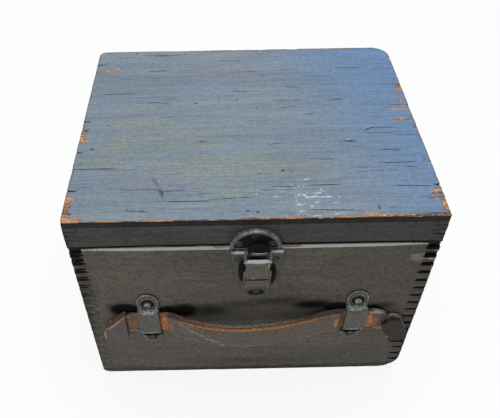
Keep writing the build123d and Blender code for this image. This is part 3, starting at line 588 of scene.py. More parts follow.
@dataclass(frozen=True)
class Baize(Finish):
    """Green felt with a short, uneven nap."""

    nap: Colour = (0.035, 0.1, 0.055)
    rubbed: Colour = (0.09, 0.15, 0.08)

    def build(self, shared: SharedGroups) -> bpy.types.Material:
        """Build the material.

        Args:
            shared: the shader groups.

        Returns:
            The material.
        """
        tree, material, shader, place = self.start()
        fuzz = tree.noise(place, 2600.0, 3.0, 0.7)
        grime = tree.group(shared.grime, Vector=place, Size=40.0)
        colour = tree.blend(tree.times(grime["Stain"], 0.6), self.nap, self.rubbed)
        colour = tree.coat(colour, (0.012, 0.03, 0.018), fuzz, 0.5)
        tree.feed(shader.inputs["Base Color"], colour)
        shader.inputs["Roughness"].default_value = 0.95
        shader.inputs["Sheen Weight"].default_value = 0.4
        shader.inputs["Sheen Roughness"].default_value = 0.6
        self.emboss(tree, shader, fuzz, 0.4 * MM)
        return material


@dataclass(frozen=True)
class AgedMetal(Finish):
    """Blackened metal, rubbed bright where hands and edges meet it, with painted highlights and painted shade
    where its marks lie.
    """

    coat: Colour = (0.05, 0.055, 0.055)
    haze: Colour = (0.12, 0.14, 0.13)
    bright: Colour = (0.45, 0.33, 0.16)
    rust: Colour = (0.12, 0.05, 0.02)
    bloom_and_highlight: Colour = (0.24, 0.26, 0.26)
    black: Colour = (0.006, 0.006, 0.007)
    rubbed: float = 0.5
    rusty: float = 0.15
    gloss: float = 0.4
    shine: float = 0.35
    mirror: float = 0.3
    blotch: float = 0.3

    def build(self, shared: SharedGroups) -> bpy.types.Material:
        """Build the material.

        Args:
            shared: the shader groups.

        Returns:
            The material.
        """
        tree, material, shader, place = self.start()
        grime = tree.group(shared.grime, Vector=place, Size=90.0)
        wear = tree.group(shared.wear, Vector=place, Worn=tree.times(tree.read(WORN), self.rubbed * 2.0),
                          Ragged=0.35, Grit=900.0)
        colour = tree.blend(tree.times(grime["Mottle"], 0.7), self.coat, self.haze)
        colour = tree.coat(colour, self.rust, grime["Stain"], self.rusty)
        colour = tree.coat(colour, self.haze, grime["Specks"], 0.5)
        patchy = tree.steps(tree.noise(place, 520.0, 3.0, 0.62), 0.44, 0.66, 0.0, self.blotch)
        colour = tree.blend(patchy, colour, self.black)
        lit = tree.steps(tree.noise(place, 640.0, 3.0, 0.65), 0.54, 0.74, 0.0, self.blotch * 0.45)
        colour = tree.blend(lit, colour, self.bloom_and_highlight)
        fine = tree.centred(tree.noise(place, 1100.0, 2.0, 0.6), 1.8)
        # Pale marks: painted highlights, laid in the bloom colour.
        colour = tree.blend(tree.steps(tree.plus(tree.read(PALE), fine), 0.3, 0.8), colour, self.bloom_and_highlight)
        colour = tree.coat(colour, self.bright, wear["Mask"], 0.85)
        # Dark marks: tarnish, and painted shade in recesses, gaps and under parts.
        soot_and_shade = tree.steps(tree.plus(tree.read(DARK), tree.times(fine, 0.4)), 0.15, 0.75)
        colour = tree.blend(soot_and_shade, colour, self.black)
        tree.feed(shader.inputs["Base Color"], colour)
        self.dull(tree, shader, soot_and_shade, self.mirror)
        tree.feed(shader.inputs["Metallic"], tree.steps(wear["Mask"], 0.0, 1.0, self.shine, 0.75))
        rough = tree.plus(self.gloss, tree.times(grime["Mottle"], 0.18))
        rough = tree.plus(rough, tree.times(soot_and_shade, 0.25), True)
        tree.feed(shader.inputs["Roughness"], rough)
        relief = tree.minus(tree.times(grime["Mottle"], 0.6), wear["Mask"])
        self.emboss(tree, shader, relief, 0.06 * MM)
        return material


@dataclass(frozen=True)
class OldLeather(Finish):
    """Dark strap leather: creased, scuffed and worn to tan along its edges."""

    hide: Colour = (0.06, 0.038, 0.028)
    brown: Colour = (0.13, 0.085, 0.06)
    tan: Colour = (0.46, 0.17, 0.045)
    tan_dark: Colour = (0.17, 0.06, 0.02)
    scuff: Colour = (0.3, 0.26, 0.22)
    black: Colour = (0.008, 0.007, 0.006)
    scuffed: float = 0.4
    blotch: float = 0.5
    mirror: float = 0.28

    def build(self, shared: SharedGroups) -> bpy.types.Material:
        """Build the material.

        Args:
            shared: the shader groups.

        Returns:
            The material.
        """
        tree, material, shader, place = self.start()
        grime = tree.group(shared.grime, Vector=place, Size=60.0)
        wear = tree.group(shared.wear, Vector=place, Worn=tree.read(WORN), Ragged=0.5, Grit=500.0)
        cells = tree.made("ShaderNodeTexVoronoi", {"Vector": tree.stretched(place, (0.6, 1.0, 1.0)),
                                                   "Scale": 900.0}, feature="DISTANCE_TO_EDGE")
        crease = tree.minus(1.0, tree.steps(cells, 0.0, 0.12), True)
        colour = tree.blend(tree.times(grime["Mottle"], 0.8), self.hide, self.brown)
        colour = tree.coat(colour, self.scuff, grime["Specks"], self.scuffed)
        colour = tree.coat(colour, self.hide, crease, 0.35)
        patchy = tree.steps(tree.noise(place, 420.0, 3.0, 0.62), 0.42, 0.66, 0.0, self.blotch)
        colour = tree.blend(patchy, colour, self.black)
        lit = tree.steps(tree.noise(place, 700.0, 3.0, 0.65), 0.56, 0.74, 0.0, self.blotch * 0.8)
        colour = tree.blend(lit, colour, self.scuff)
        mixed = tree.blend(grime["Mottle"], self.tan, self.tan_dark)
        colour = tree.coat(colour, self.tan_dark, wear["Rim"], 0.5)
        colour = tree.blend(tree.times(wear["Mask"], 0.92), colour, mixed)
        fine = tree.centred(tree.noise(place, 1100.0, 2.0, 0.6), 1.4)
        chalk_and_highlight = tree.steps(tree.plus(tree.read(PALE), fine), 0.42, 0.62, 0.0, 0.8)
        colour = tree.blend(chalk_and_highlight, colour, self.scuff)
        soot_and_shade = tree.steps(tree.read(DARK), 0.1, 0.9)
        colour = tree.blend(soot_and_shade, colour, self.black)
        tree.feed(shader.inputs["Base Color"], colour)
        self.dull(tree, shader, soot_and_shade, self.mirror)
        rough = tree.plus(0.5, tree.times(grime["Mottle"], 0.2))
        tree.feed(shader.inputs["Roughness"], rough)
        relief = tree.minus(tree.times(grime["Mottle"], 0.8),
                           tree.times(crease, 0.5))
        self.emboss(tree, shader, relief, 0.22 * MM)
        return material


# ------------------------------------------------------------------ mesh work


class CutForm:
    """A copy of one CAD node's form, to be rounded, sliced fine and worn."""

    def __init__(self, frame: dict, *nodes: str) -> None:
        """Copy the nodes' meshes and merge their loose triangles.

        Args:
            *nodes: the CAD nodes to copy.
        """
        self.form = bmesh.new()
        for node in nodes:
            self.form.from_mesh(frame["nodes"][node].data)
        bmesh.ops.remove_doubles(self.form, verts=self.form.verts, dist=0.002 * MM)
        bmesh.ops.dissolve_limit(self.form, angle_limit=math.radians(0.4), verts=self.form.verts,
                                 edges=self.form.edges)

    def sharp_edges(self, angle: float = 35.0) -> list[bmesh.types.BMEdge]:
        """List the convex edges that are sharper than an angle.

        Args:
            angle: the least turn between the two faces, in degrees.

        Returns:
            The edges.
        """
        least = math.radians(angle)
        return [edge
                for edge in self.form.edges
                if edge.is_manifold and edge.calc_face_angle_signed(0.0) > least]

    def round_arrises(self, width: float, segments: int = 2, angle: float = 35.0) -> None:
        """Round every sharp convex edge.

        Args:
            width: how far the rounding reaches on each face.
            segments: how many faces it has.
            angle: the least turn of an edge that is rounded, in degrees.
        """
        bmesh.ops.bevel(self.form, geom=self.sharp_edges(angle), offset=width, offset_type="OFFSET",
                        segments=segments, profile=0.5, affect="EDGES", clamp_overlap=True)

    def slice(self, axis: int, pitch: float, keep: Callable[[bmesh.types.BMFace], bool] | None = None,
              extra: Sequence[float] = ()) -> None:
        """Cut the faces into strips across one axis.

        Args:
            axis: 0, 1 or 2 for X, Y or Z.
            pitch: the strips' width.
            keep: which faces are cut, or all of them.
            extra: more places to cut at.
        """
        faces = [face for face in self.form.faces if keep is None or keep(face)]
        if not faces:
            return
        places = [corner.co[axis] for face in faces for corner in face.verts]
        low, high = min(places), max(places)
        count = max(1, round((high - low) / pitch))
        cuts = [low + (high - low) * step / count for step in range(1, count)]
        cuts.extend(place for place in extra if low < place < high)
        self._halve(faces, axis, sorted(cuts))

    def _halve(self, faces: list[bmesh.types.BMFace], axis: int, cuts: list[float]) -> None:
        """Cut at the middle of the cuts and go on with each half.

        Args:
            faces: the faces between the first cut and the last.
            axis: the axis that the cuts cross.
            cuts: where to cut, in order.
        """
        if not cuts or not faces:
            return
        middle = len(cuts) // 2
        normal = Vector((0.0, 0.0, 0.0))
        normal[axis] = 1.0
        edges = {edge for face in faces for edge in face.edges}
        corners = {corner for face in faces for corner in face.verts}
        result = bmesh.ops.bisect_plane(self.form, geom=[*corners, *edges, *faces], dist=0.001 * MM,
                                        plane_co=normal * cuts[middle], plane_no=normal)
        after = [item for item in result["geom"] if isinstance(item, bmesh.types.BMFace)]
        low = [face for face in after if face.calc_center_median()[axis] < cuts[middle]]
        high = [face for face in after if face.calc_center_median()[axis] >= cuts[middle]]
        self._halve(low, axis, cuts[:middle])
        self._halve(high, axis, cuts[middle + 1:])

    def points(self) -> tuple[Points, Points]:
        """Read every point.

        Returns:
            The points' places and their normals, one row each.
        """
        self.form.normal_update()
        places = np.array([corner.co[:] for corner in self.form.verts])
        normals = np.array([corner.normal[:] for corner in self.form.verts])
        return places, normals

    def place(self, places: Points) -> None:
        """Put every point in its new place.

        Args:
            places: the places, in the points' order.
        """
        for corner, place in zip(self.form.verts, places):
            corner.co = place

    def store(self, name: str, values: Points) -> None:
        """Store a value at each point for the shaders.

        Args:
            name: the attribute's name.
            values: one value a point.
        """
        layer = self.form.verts.layers.float.get(name) or self.form.verts.layers.float.new(name)
        for corner, value in zip(self.form.verts, values):
            corner[layer] = float(value)

    def assign(self, choose: Callable[[bmesh.types.BMFace], int]) -> None:
        """Choose each face's finish.

        Args:
            choose: a face's place in the piece's list of finishes.
        """
        for face in self.form.faces:
            face.material_index = choose(face)

    def finish(self, name: str, smooth: float = 38.0) -> bpy.types.Mesh:
        """Turn the form into a mesh and close it.

        Args:
            name: the mesh's name.
            smooth: edges that turn further than this stay sharp, in degrees.

        Returns:
            The mesh.
        """
        mesh = bpy.data.meshes.new(name)
        self.form.to_mesh(mesh)
        self.form.free()
        mesh.polygons.foreach_set("use_smooth", [True] * len(mesh.polygons))
        mesh.set_sharp_from_angle(angle=math.radians(smooth))
        return mesh


class ArrisMap:
    """Measures how near a place is to a form's sharp edges."""

    def __init__(self, form: CutForm, angle: float = 35.0, pitch: float = 0.7 * MM) -> None:
        """Sample the sharp edges before they are rounded.

        Args:
            form: the form, not yet rounded.
            angle: the least turn of a sharp edge, in degrees.
            pitch: the samples' distance.
        """
        samples = []
        for edge in form.sharp_edges(angle):
            start, end = (corner.co.copy() for corner in edge.verts)
            count = max(1, math.ceil((end - start).length / pitch))
            samples.extend(start.lerp(end, step / count) for step in range(count + 1))
        self.tree = kdtree.KDTree(max(1, len(samples)))
        for number, sample in enumerate(samples):
            self.tree.insert(sample, number)
        self.tree.balance()
        self.empty = not samples

    def distance(self, place: Vector) -> float:
        """Measure the way to the nearest sharp edge.

        Args:
            place: where to measure from.

        Returns:
            The distance, in metres.
        """
        if self.empty:
            return 1.0
        return self.tree.find(place)[2]


SEED_STEP = 7.31
CELL_PRIMES = (73856093, 19349663, 83492791)
SEED_PRIME = 2654435
MIX_PRIME = 1274126177


def ripple(places: Points, scale: Triple, seed: int = 0) -> Points:
    """Give a smooth random value between -1 and 1 at each place.

    Args:
        places: the places, one row each.
        scale: how many ripples a metre holds along each axis.
        seed: which pattern it is.

    Returns:
        One value a place.
    """
    spots = places * np.array(scale) + seed * SEED_STEP
    corner = np.floor(spots).astype(np.int64)
    share = spots - corner
    share = share * share * (3.0 - 2.0 * share)
    total = np.zeros(len(places))
    for step in np.ndindex(2, 2, 2):
        cell = corner + np.array(step)
        mixed = np.bitwise_xor.reduce(cell * np.array(CELL_PRIMES), axis=1) ^ (seed * SEED_PRIME)
        mixed = (mixed ^ (mixed >> 13)) * MIX_PRIME & 0x7FFFFFFF
        mixed = (mixed ^ (mixed >> 16)) & 0xFFFF
        weight = np.prod(np.where(np.array(step) == 1, share, 1.0 - share), axis=1)
        total += weight * (mixed / 32767.5 - 1.0)
    return total


class Yard:
    """What every sub-assembly is built with: the frame, the finishes and the way to hand a piece over."""

    def __init__(self, frame: dict) -> None:
        """Build the shared groups; each finish is built the first time it is asked for.
        """
        self.frame = frame
        self.shared = SharedGroups()
        self.finishes: dict[str, bpy.types.Material] = {}

    def finish(self, finish: Finish) -> bpy.types.Material:
        """Give a finish's material, and build it the first time.

        Args:
            finish: the finish.

        Returns:
            The material.
        """
        if finish.name not in self.finishes:
            self.finishes[finish.name] = finish.build(self.shared)
        return self.finishes[finish.name]

    def piece(self, name: str, mesh: bpy.types.Mesh, finishes: Sequence[Finish], body: str, slot: str,
              *nodes: str) -> bpy.types.Object:
        """Hand over a finished piece.

        Args:
            name: the piece's name.
            mesh: its mesh, in place.
            finishes: its finishes, in the order of its faces' choice.
            body: the body that it rides on.
            slot: the record's slot that it would take its finish from; not used.
            *nodes: the CAD nodes that it stands for.

        Returns:
            The piece's object.
        """
        piece = bpy.data.objects.new(name, mesh)
        bpy.context.scene.collection.objects.link(piece)
        for finish in finishes:
            mesh.materials.append(self.finish(finish))
        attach(piece, body)
        if nodes:
            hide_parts(*nodes)
        LOG.info("%s: %d faces, on %s", name, len(mesh.polygons), body)
        return piece


# -------------------------------------------------------------- the wood work


@dataclass(frozen=True)
class Mark:
    """One mark, sized in millimetres: a rubbed patch, split, pit, gouge, stain, tint or scuff of age, or a
    patch of painted shade or a painted highlight.
    """

    channel: Channel
    centre: Triple
    half: Triple
    strength: float = 1.0
    depth: float = 0.0
    turn: float = 0.0
    hard: float = 2.0
    ring: float = 0.0
    tilt: float = 0.0

    def share(self, places: Points) -> Points:
        """Say how much of the mark each place has; a mark with a ring has it along its rim only.

        Args:
            places: the places, in metres.

        Returns:
            1 at the centre and less away from it, one value a place.
        """
        away = places / MM - np.array(self.centre)
        turn = math.radians(self.turn)
        along = away[:, 0] * math.cos(turn) + away[:, 1] * math.sin(turn)
        across = away[:, 1] * math.cos(turn) - away[:, 0] * math.sin(turn)
        tilt = math.radians(self.tilt)
        up = away[:, 2] * math.cos(tilt) - along * math.sin(tilt)
        along = along * math.cos(tilt) + away[:, 2] * math.sin(tilt)
        wide, deep, tall = self.half
        reach = np.sqrt((along / wide) ** 2 + (across / deep) ** 2 + (up / tall) ** 2)
        if self.ring:
            return np.exp(-((reach - 1.0) / self.ring) ** 2)
        return np.exp(-reach ** self.hard)


@dataclass(frozen=True)
class Checks:
    """Seeded cracks that run along the grain of a board's upper face."""

    count: int
    area: tuple[float, float, float, float]
    length: tuple[float, float] = (10.0, 46.0)
    width: float = 0.45
    depth: float = 0.3
    seed: int = 11

    def share(self, places: Points) -> Points:
        """Say how deep in a crack each place is.

        Args:
            places: the places, in metres.

        Returns:
            From 0 outside every crack to 1 in the middle of a deep one.
        """
        draw = random.Random(self.seed)
        x = places[:, 0] / MM
        y = places[:, 1] / MM
        total = np.zeros(len(places))
        left, front, right, back = self.area
        for _ in range(self.count):
            middle = draw.uniform(left, right)
            half = draw.uniform(*self.length) / 2.0
            line = draw.uniform(front, back)
            bend = draw.uniform(0.2, 0.9)
            phase = draw.uniform(0.0, 6.0)
            strength = draw.uniform(0.35, 1.0)
            near = np.abs(y - line) < 3.0
            path = line + bend * np.sin((x[near] - middle) / half * 1.7 + phase)
            ends = np.clip(1.15 - np.abs(x[near] - middle) / half, 0.0, 0.6) / 0.6
            groove = np.exp(-((y[near] - path) / self.width) ** 2) * ends * strength
            total[near] = np.maximum(total[near], groove)
        return total


@dataclass
class Block:
    """The outer box of the lid or of the case, whose arrises wear first."""

    low: Vector
    high: Vector

    def gaps(self, places: Points) -> Points:
        """Measure the way from each place to the box's nearer side, axis by axis.

        Args:
            places: the places, one row each.

        Returns:
            Three distances a row.
        """
        below = places - np.array(self.low)
        above = np.array(self.high) - places
        return np.maximum(np.minimum(below, above), 0.0)

    def arris(self, places: Points) -> Points:
        """Measure the way from each place on the box to the nearest of its twelve arrises.

        Args:
            places: places on or near the box's surface.

        Returns:
            One distance a place.
        """
        return np.sort(self.gaps(places), axis=1)[:, 1]

    def outside(self, places: Points, depth: float = 1.2 * MM) -> Points:
        """Say which places are on the box's outer surface.

        Args:
            places: the places.
            depth: how deep under the surface still counts.

        Returns:
            True or False for each place.
        """
        return np.min(self.gaps(places), axis=1) < depth


@dataclass
class Carcass:
    """One half of the box, the lid or the case, whose boards wear in the same way."""

    yard: Yard
    body: str
    slot: str
    block: Block
    timber: Finish
    crevice_shade: Finish
    marks: Sequence[Mark] = ()
    checks: Checks | None = None
    arris_reach: float = 1.3 * MM
    arris_wear: float = 0.55
    rounding: float = 0.3 * MM
    chipping: float = 0.8 * MM
    worn_from: float = 0.0
    skin: float = 1.6 * MM
    wall: float = 5.5 * MM
    deep_cut: float = 0.8

    def wear(self, form: CutForm) -> None:
        """Chip, dent and crack a board, and store its marks for the shader.

        Args:
            form: the board's form.
        """
        places, normals = form.points()
        out = self.block.outside(places)
        near = np.exp(-self.block.arris(places) / self.arris_reach)
        patches = ripple(places, (90.0, 90.0, 130.0), 21) + 0.4 * ripple(places, (380.0, 380.0, 380.0), 5)
        exposed = near * (places[:, 2] > self.worn_from)
        values = {channel: np.zeros(len(places)) for channel in Channel}
        values[WORN] = self.arris_wear * exposed * (1.0 + 0.6 * patches)
        swell = 0.1 * MM * (ripple(places, (14.0, 40.0, 40.0), 3) - 1.0)
        fibre = 0.05 * MM * (ripple(places, (30.0, 420.0, 420.0), 8) - 1.0)
        shift = swell + fibre - near * (0.2 * MM + self.chipping * np.clip(patches, 0.0, 1.0))
        for mark in self.marks:
            share = mark.share(places)
            if mark.channel is TINT:
                values[TINT] += mark.strength * share
            else:
                values[mark.channel] = np.maximum(values[mark.channel], mark.strength * share)
            shift -= mark.depth * MM * share
        if self.checks is not None:
            groove = self.checks.share(places) * (normals[:, 2] > 0.5)
            values[DARK] = np.maximum(values[DARK], groove)
            shift -= self.checks.depth * MM * groove
        form.place(places + normals * (shift * out)[:, None])
        for channel, value in values.items():
            form.store(channel.value, value * out)

    def board(self, node: str, paints: Sequence[Finish], pitch: Triple, fine: bool = False,
              cuts: Sequence[float] = ()) -> bpy.types.Object:
        """Dress one board.

        Args:
            node: the CAD node.
            paints: the paint of its upright faces and of its upper face.
            pitch: how wide the strips are across X, Y and Z, or 0 for none.
            fine: leave the underside whole across X and Y, and cut along the deep marks.
            cuts: more heights to cut at.

        Returns:
            The piece.
        """
        form = CutForm(self.yard.frame, node)
        form.round_arrises(self.rounding)
        for axis in range(3):
            if pitch[axis]:
                upper = (lambda face: face.normal.z > -0.5) if fine and axis < 2 else None
                extra = [(mark.centre[axis] + side) * MM for mark in self.marks for side in (-0.5, 0.5)
                         if fine and mark.depth > self.deep_cut and axis == 1]
                extra += [height * MM for height in cuts if axis == 2]
                form.slice(axis, pitch[axis], upper, extra)
        self.wear(form)
        middle = (self.block.low + self.block.high) / 2.0

        def choose(face: bmesh.types.BMFace) -> int:
            """Take the paint outside, the bare wood inside and the painted shade between boards.

            Args:
                face: the face.

            Returns:
                The number of its finish.
            """
            place = face.calc_center_median()
            gap = np.min(self.block.gaps(np.array([place[:]])))
            if gap < self.skin:
                return 1 if face.normal.z > 0.6 and place.z > middle.z else 0
            inward = (middle - place) * Vector((1.0, 1.0, 0.0))
            if gap > self.wall and (face.normal.dot(inward) > 0.02 or abs(face.normal.z) > 0.7):
                return 2
            return 3

        form.assign(choose)
        mesh = form.finish(f"{node}_painted")
        finishes = (paints[0], paints[-1], self.timber, self.crevice_shade)
        return self.yard.piece(f"{node}_painted", mesh, finishes, self.body, self.slot, node)


# -------------------------------------------------------------------- studio


@dataclass
class Studio:
    """The floor, the light and the camera."""

    eye: Triple = (-24.9 * MM, -404.9 * MM, 513.8 * MM)
    tilt_down: float = math.radians(45.47)
    yaw: float = math.radians(0.10)
    roll: float = math.radians(-1.03)
    lens: float = 42.65
    shift: tuple[float, float] = (0.057, 0.0014)
    floor_size: float = 6.0
    floor_paint: Colour = (0.82, 0.82, 0.82)
    floor_glow: float = 0.86
    sky: float = 0.55

    def build(self) -> None:
        """Build everything that isn't the object."""
        self._camera()
        self._floor()
        self._world()
        self._lamp("Overhead", (0.1, 0.25, 1.5), 1.1, 15.0, (0.93, 0.97, 1.0))
        self._lamp("Front", (-0.7, -1.3, 0.75), 0.9, 8.0, (1.0, 0.98, 0.95))

    def _camera(self) -> None:
        """Place the camera at its eye, turned by its three angles."""
        data = bpy.data.cameras.new("Camera")
        data.lens = self.lens
        data.sensor_width = 36.0
        data.sensor_fit = "HORIZONTAL"
        data.shift_x, data.shift_y = self.shift
        data.clip_start = 0.01
        camera = bpy.data.objects.new("Camera", data)
        forward = Vector((math.sin(self.yaw) * math.cos(self.tilt_down),
                          math.cos(self.yaw) * math.cos(self.tilt_down), -math.sin(self.tilt_down)))
        right = Vector((math.cos(self.yaw), -math.sin(self.yaw), 0.0))
        upward = right.cross(forward)
        turned_right = right * math.cos(self.roll) + upward * math.sin(self.roll)
        turned_up = upward * math.cos(self.roll) - right * math.sin(self.roll)
        turn = Matrix((turned_right, turned_up, -forward)).transposed()
        camera.matrix_world = Matrix.Translation(self.eye) @ turn.to_4x4()
        bpy.context.scene.collection.objects.link(camera)
        bpy.context.scene.camera = camera

    def _floor(self) -> None:
        """Lay a white floor that keeps a faint shadow."""
        half = self.floor_size / 2.0
        mesh = bpy.data.meshes.new("Floor")
        corners = [(-half, -half, 0.0), (half, -half, 0.0), (half, half, 0.0), (-half, half, 0.0)]
        mesh.from_pydata(corners, [], [(0, 1, 2, 3)])
        floor = bpy.data.objects.new("Floor", mesh)
        bpy.context.scene.collection.objects.link(floor)
        material = bpy.data.materials.new("White floor")
        material.use_nodes = True
        tree = Tree(material.node_tree)
        material.node_tree.nodes.remove(material.node_tree.nodes["Principled BSDF"])
        paint = tree.made("ShaderNodeBsdfDiffuse", {"Color": self.floor_paint})
        glow = tree.made("ShaderNodeEmission", {"Strength": 1.0})
        share = tree.times(seen_directly(tree), self.floor_glow)
        mix = tree.made("ShaderNodeMixShader", {0: share, 1: paint, 2: glow})
        tree.feed(material.node_tree.nodes["Material Output"].inputs["Surface"], mix)
        mesh.materials.append(material)

    def _world(self) -> None:
        """Light everything evenly and show white behind it."""
        world = bpy.data.worlds.new("World")
        bpy.context.scene.world = world
        world.use_nodes = True
        tree = Tree(world.node_tree)
        sky = world.node_tree.nodes["Background"]
        tree.feed(sky.inputs["Color"], (1.0, 1.0, 1.0))
        strength = tree.made("ShaderNodeMapRange", {0: seen_directly(tree), 3: self.sky, 4: 1.0})
        tree.feed(sky.inputs["Strength"], strength)

    @staticmethod
    def _lamp(name: str, place: Triple, size: float, power: float, colour: Colour) -> None:
        """Hang a soft lamp that faces the box.

        Args:
            name: the lamp's name.
            place: where it hangs.
            size: its side.
            power: its power, in watts.
            colour: its colour.
        """
        data = bpy.data.lights.new(name, "AREA")
        data.shape = "SQUARE"
        data.size = size
        data.energy = power
        data.color = colour
        lamp = bpy.data.objects.new(name, data)
        aim = Vector((0.0, 0.0, 0.12)) - Vector(place)
        lamp.matrix_world = Matrix.Translation(place) @ aim.to_track_quat("-Z", "Y").to_matrix().to_4x4()
        bpy.context.scene.collection.objects.link(lamp)


def seen_directly(tree: Tree) -> Socket:
    """Tell the rays that show a backdrop from those that light the object.

    Args:
        tree: the tree to read them in.

    Returns:
        1 for camera, glossy and transmission rays, else 0.
    """
    path = tree.add("ShaderNodeLightPath")
    either = tree.math("MAXIMUM", path.outputs["Is Camera Ray"], path.outputs["Is Glossy Ray"])
    return tree.math("MAXIMUM", either, path.outputs["Is Transmission Ray"])


# ------------------------------------------------------------------ fittings


@dataclass
class Fitting:
    """A fitting of metal, leather, wood or felt: a CAD form whose edges are rounded and rubbed."""

    node: str
    body: str
    slot: str
    finish: Finish
    rounding: float = 0.25 * MM
    segments: int = 2
    pitch: Triple = (1.2 * MM, 0.0, 1.2 * MM)
    reach: float = 0.4 * MM
    edge_wear: float = 0.6
    dents: float = 0.05 * MM
    marks: Sequence[Mark] = ()
    reshape: Callable[[Points], Points] | None = None

    def build(self, yard: Yard) -> bpy.types.Object:
        """Build the fitting.

        Args:
            yard: what it is built with.

        Returns:
            The piece.
        """
        form = CutForm(yard.frame, self.node)
        arrises = ArrisMap(form)
        form.round_arrises(self.rounding, self.segments)
        for axis in range(3):
            if self.pitch[axis]:
                form.slice(axis, self.pitch[axis])
        places, normals = form.points()
        near = np.array([arrises.distance(Vector(place)) for place in places])
        if self.reshape is not None:
            form.place(self.reshape(places))
            places, normals = form.points()
        patches = ripple(places, (160.0, 160.0, 160.0), 4) + 0.5 * ripple(places, (520.0, 520.0, 520.0), 6)
        values = {channel: np.zeros(len(places)) for channel in (WORN, DARK, PALE)}
        values[WORN] = self.edge_wear * np.exp(-near / self.reach) * (1.0 + 0.7 * patches)
        for mark in self.marks:
            values[mark.channel] = np.maximum(values[mark.channel], mark.strength * mark.share(places))
        dented = self.dents * (ripple(places, (210.0, 210.0, 210.0), 9) - 1.0)
        form.place(places + normals * dented[:, None])
        for channel, value in values.items():
            form.store(channel.value, value)
        mesh = form.finish(f"{self.node}_worn")
        return yard.piece(f"{self.node}_worn", mesh, (self.finish,), self.body, self.slot, self.node)


@dataclass(frozen=True)
class ScrewKind:
    """The sizes of one kind of slotted screw or brad."""

    head: float = 3.6 * MM
    rise: float = 2.2 * MM
    under: float = 0.3 * MM
    slot: float = 0.9 * MM
    slot_depth: float = 0.8 * MM
    shank: float = 1.35 * MM
    length: float = 8.0 * MM
    sides: int = 24
    polish: float = 0.8


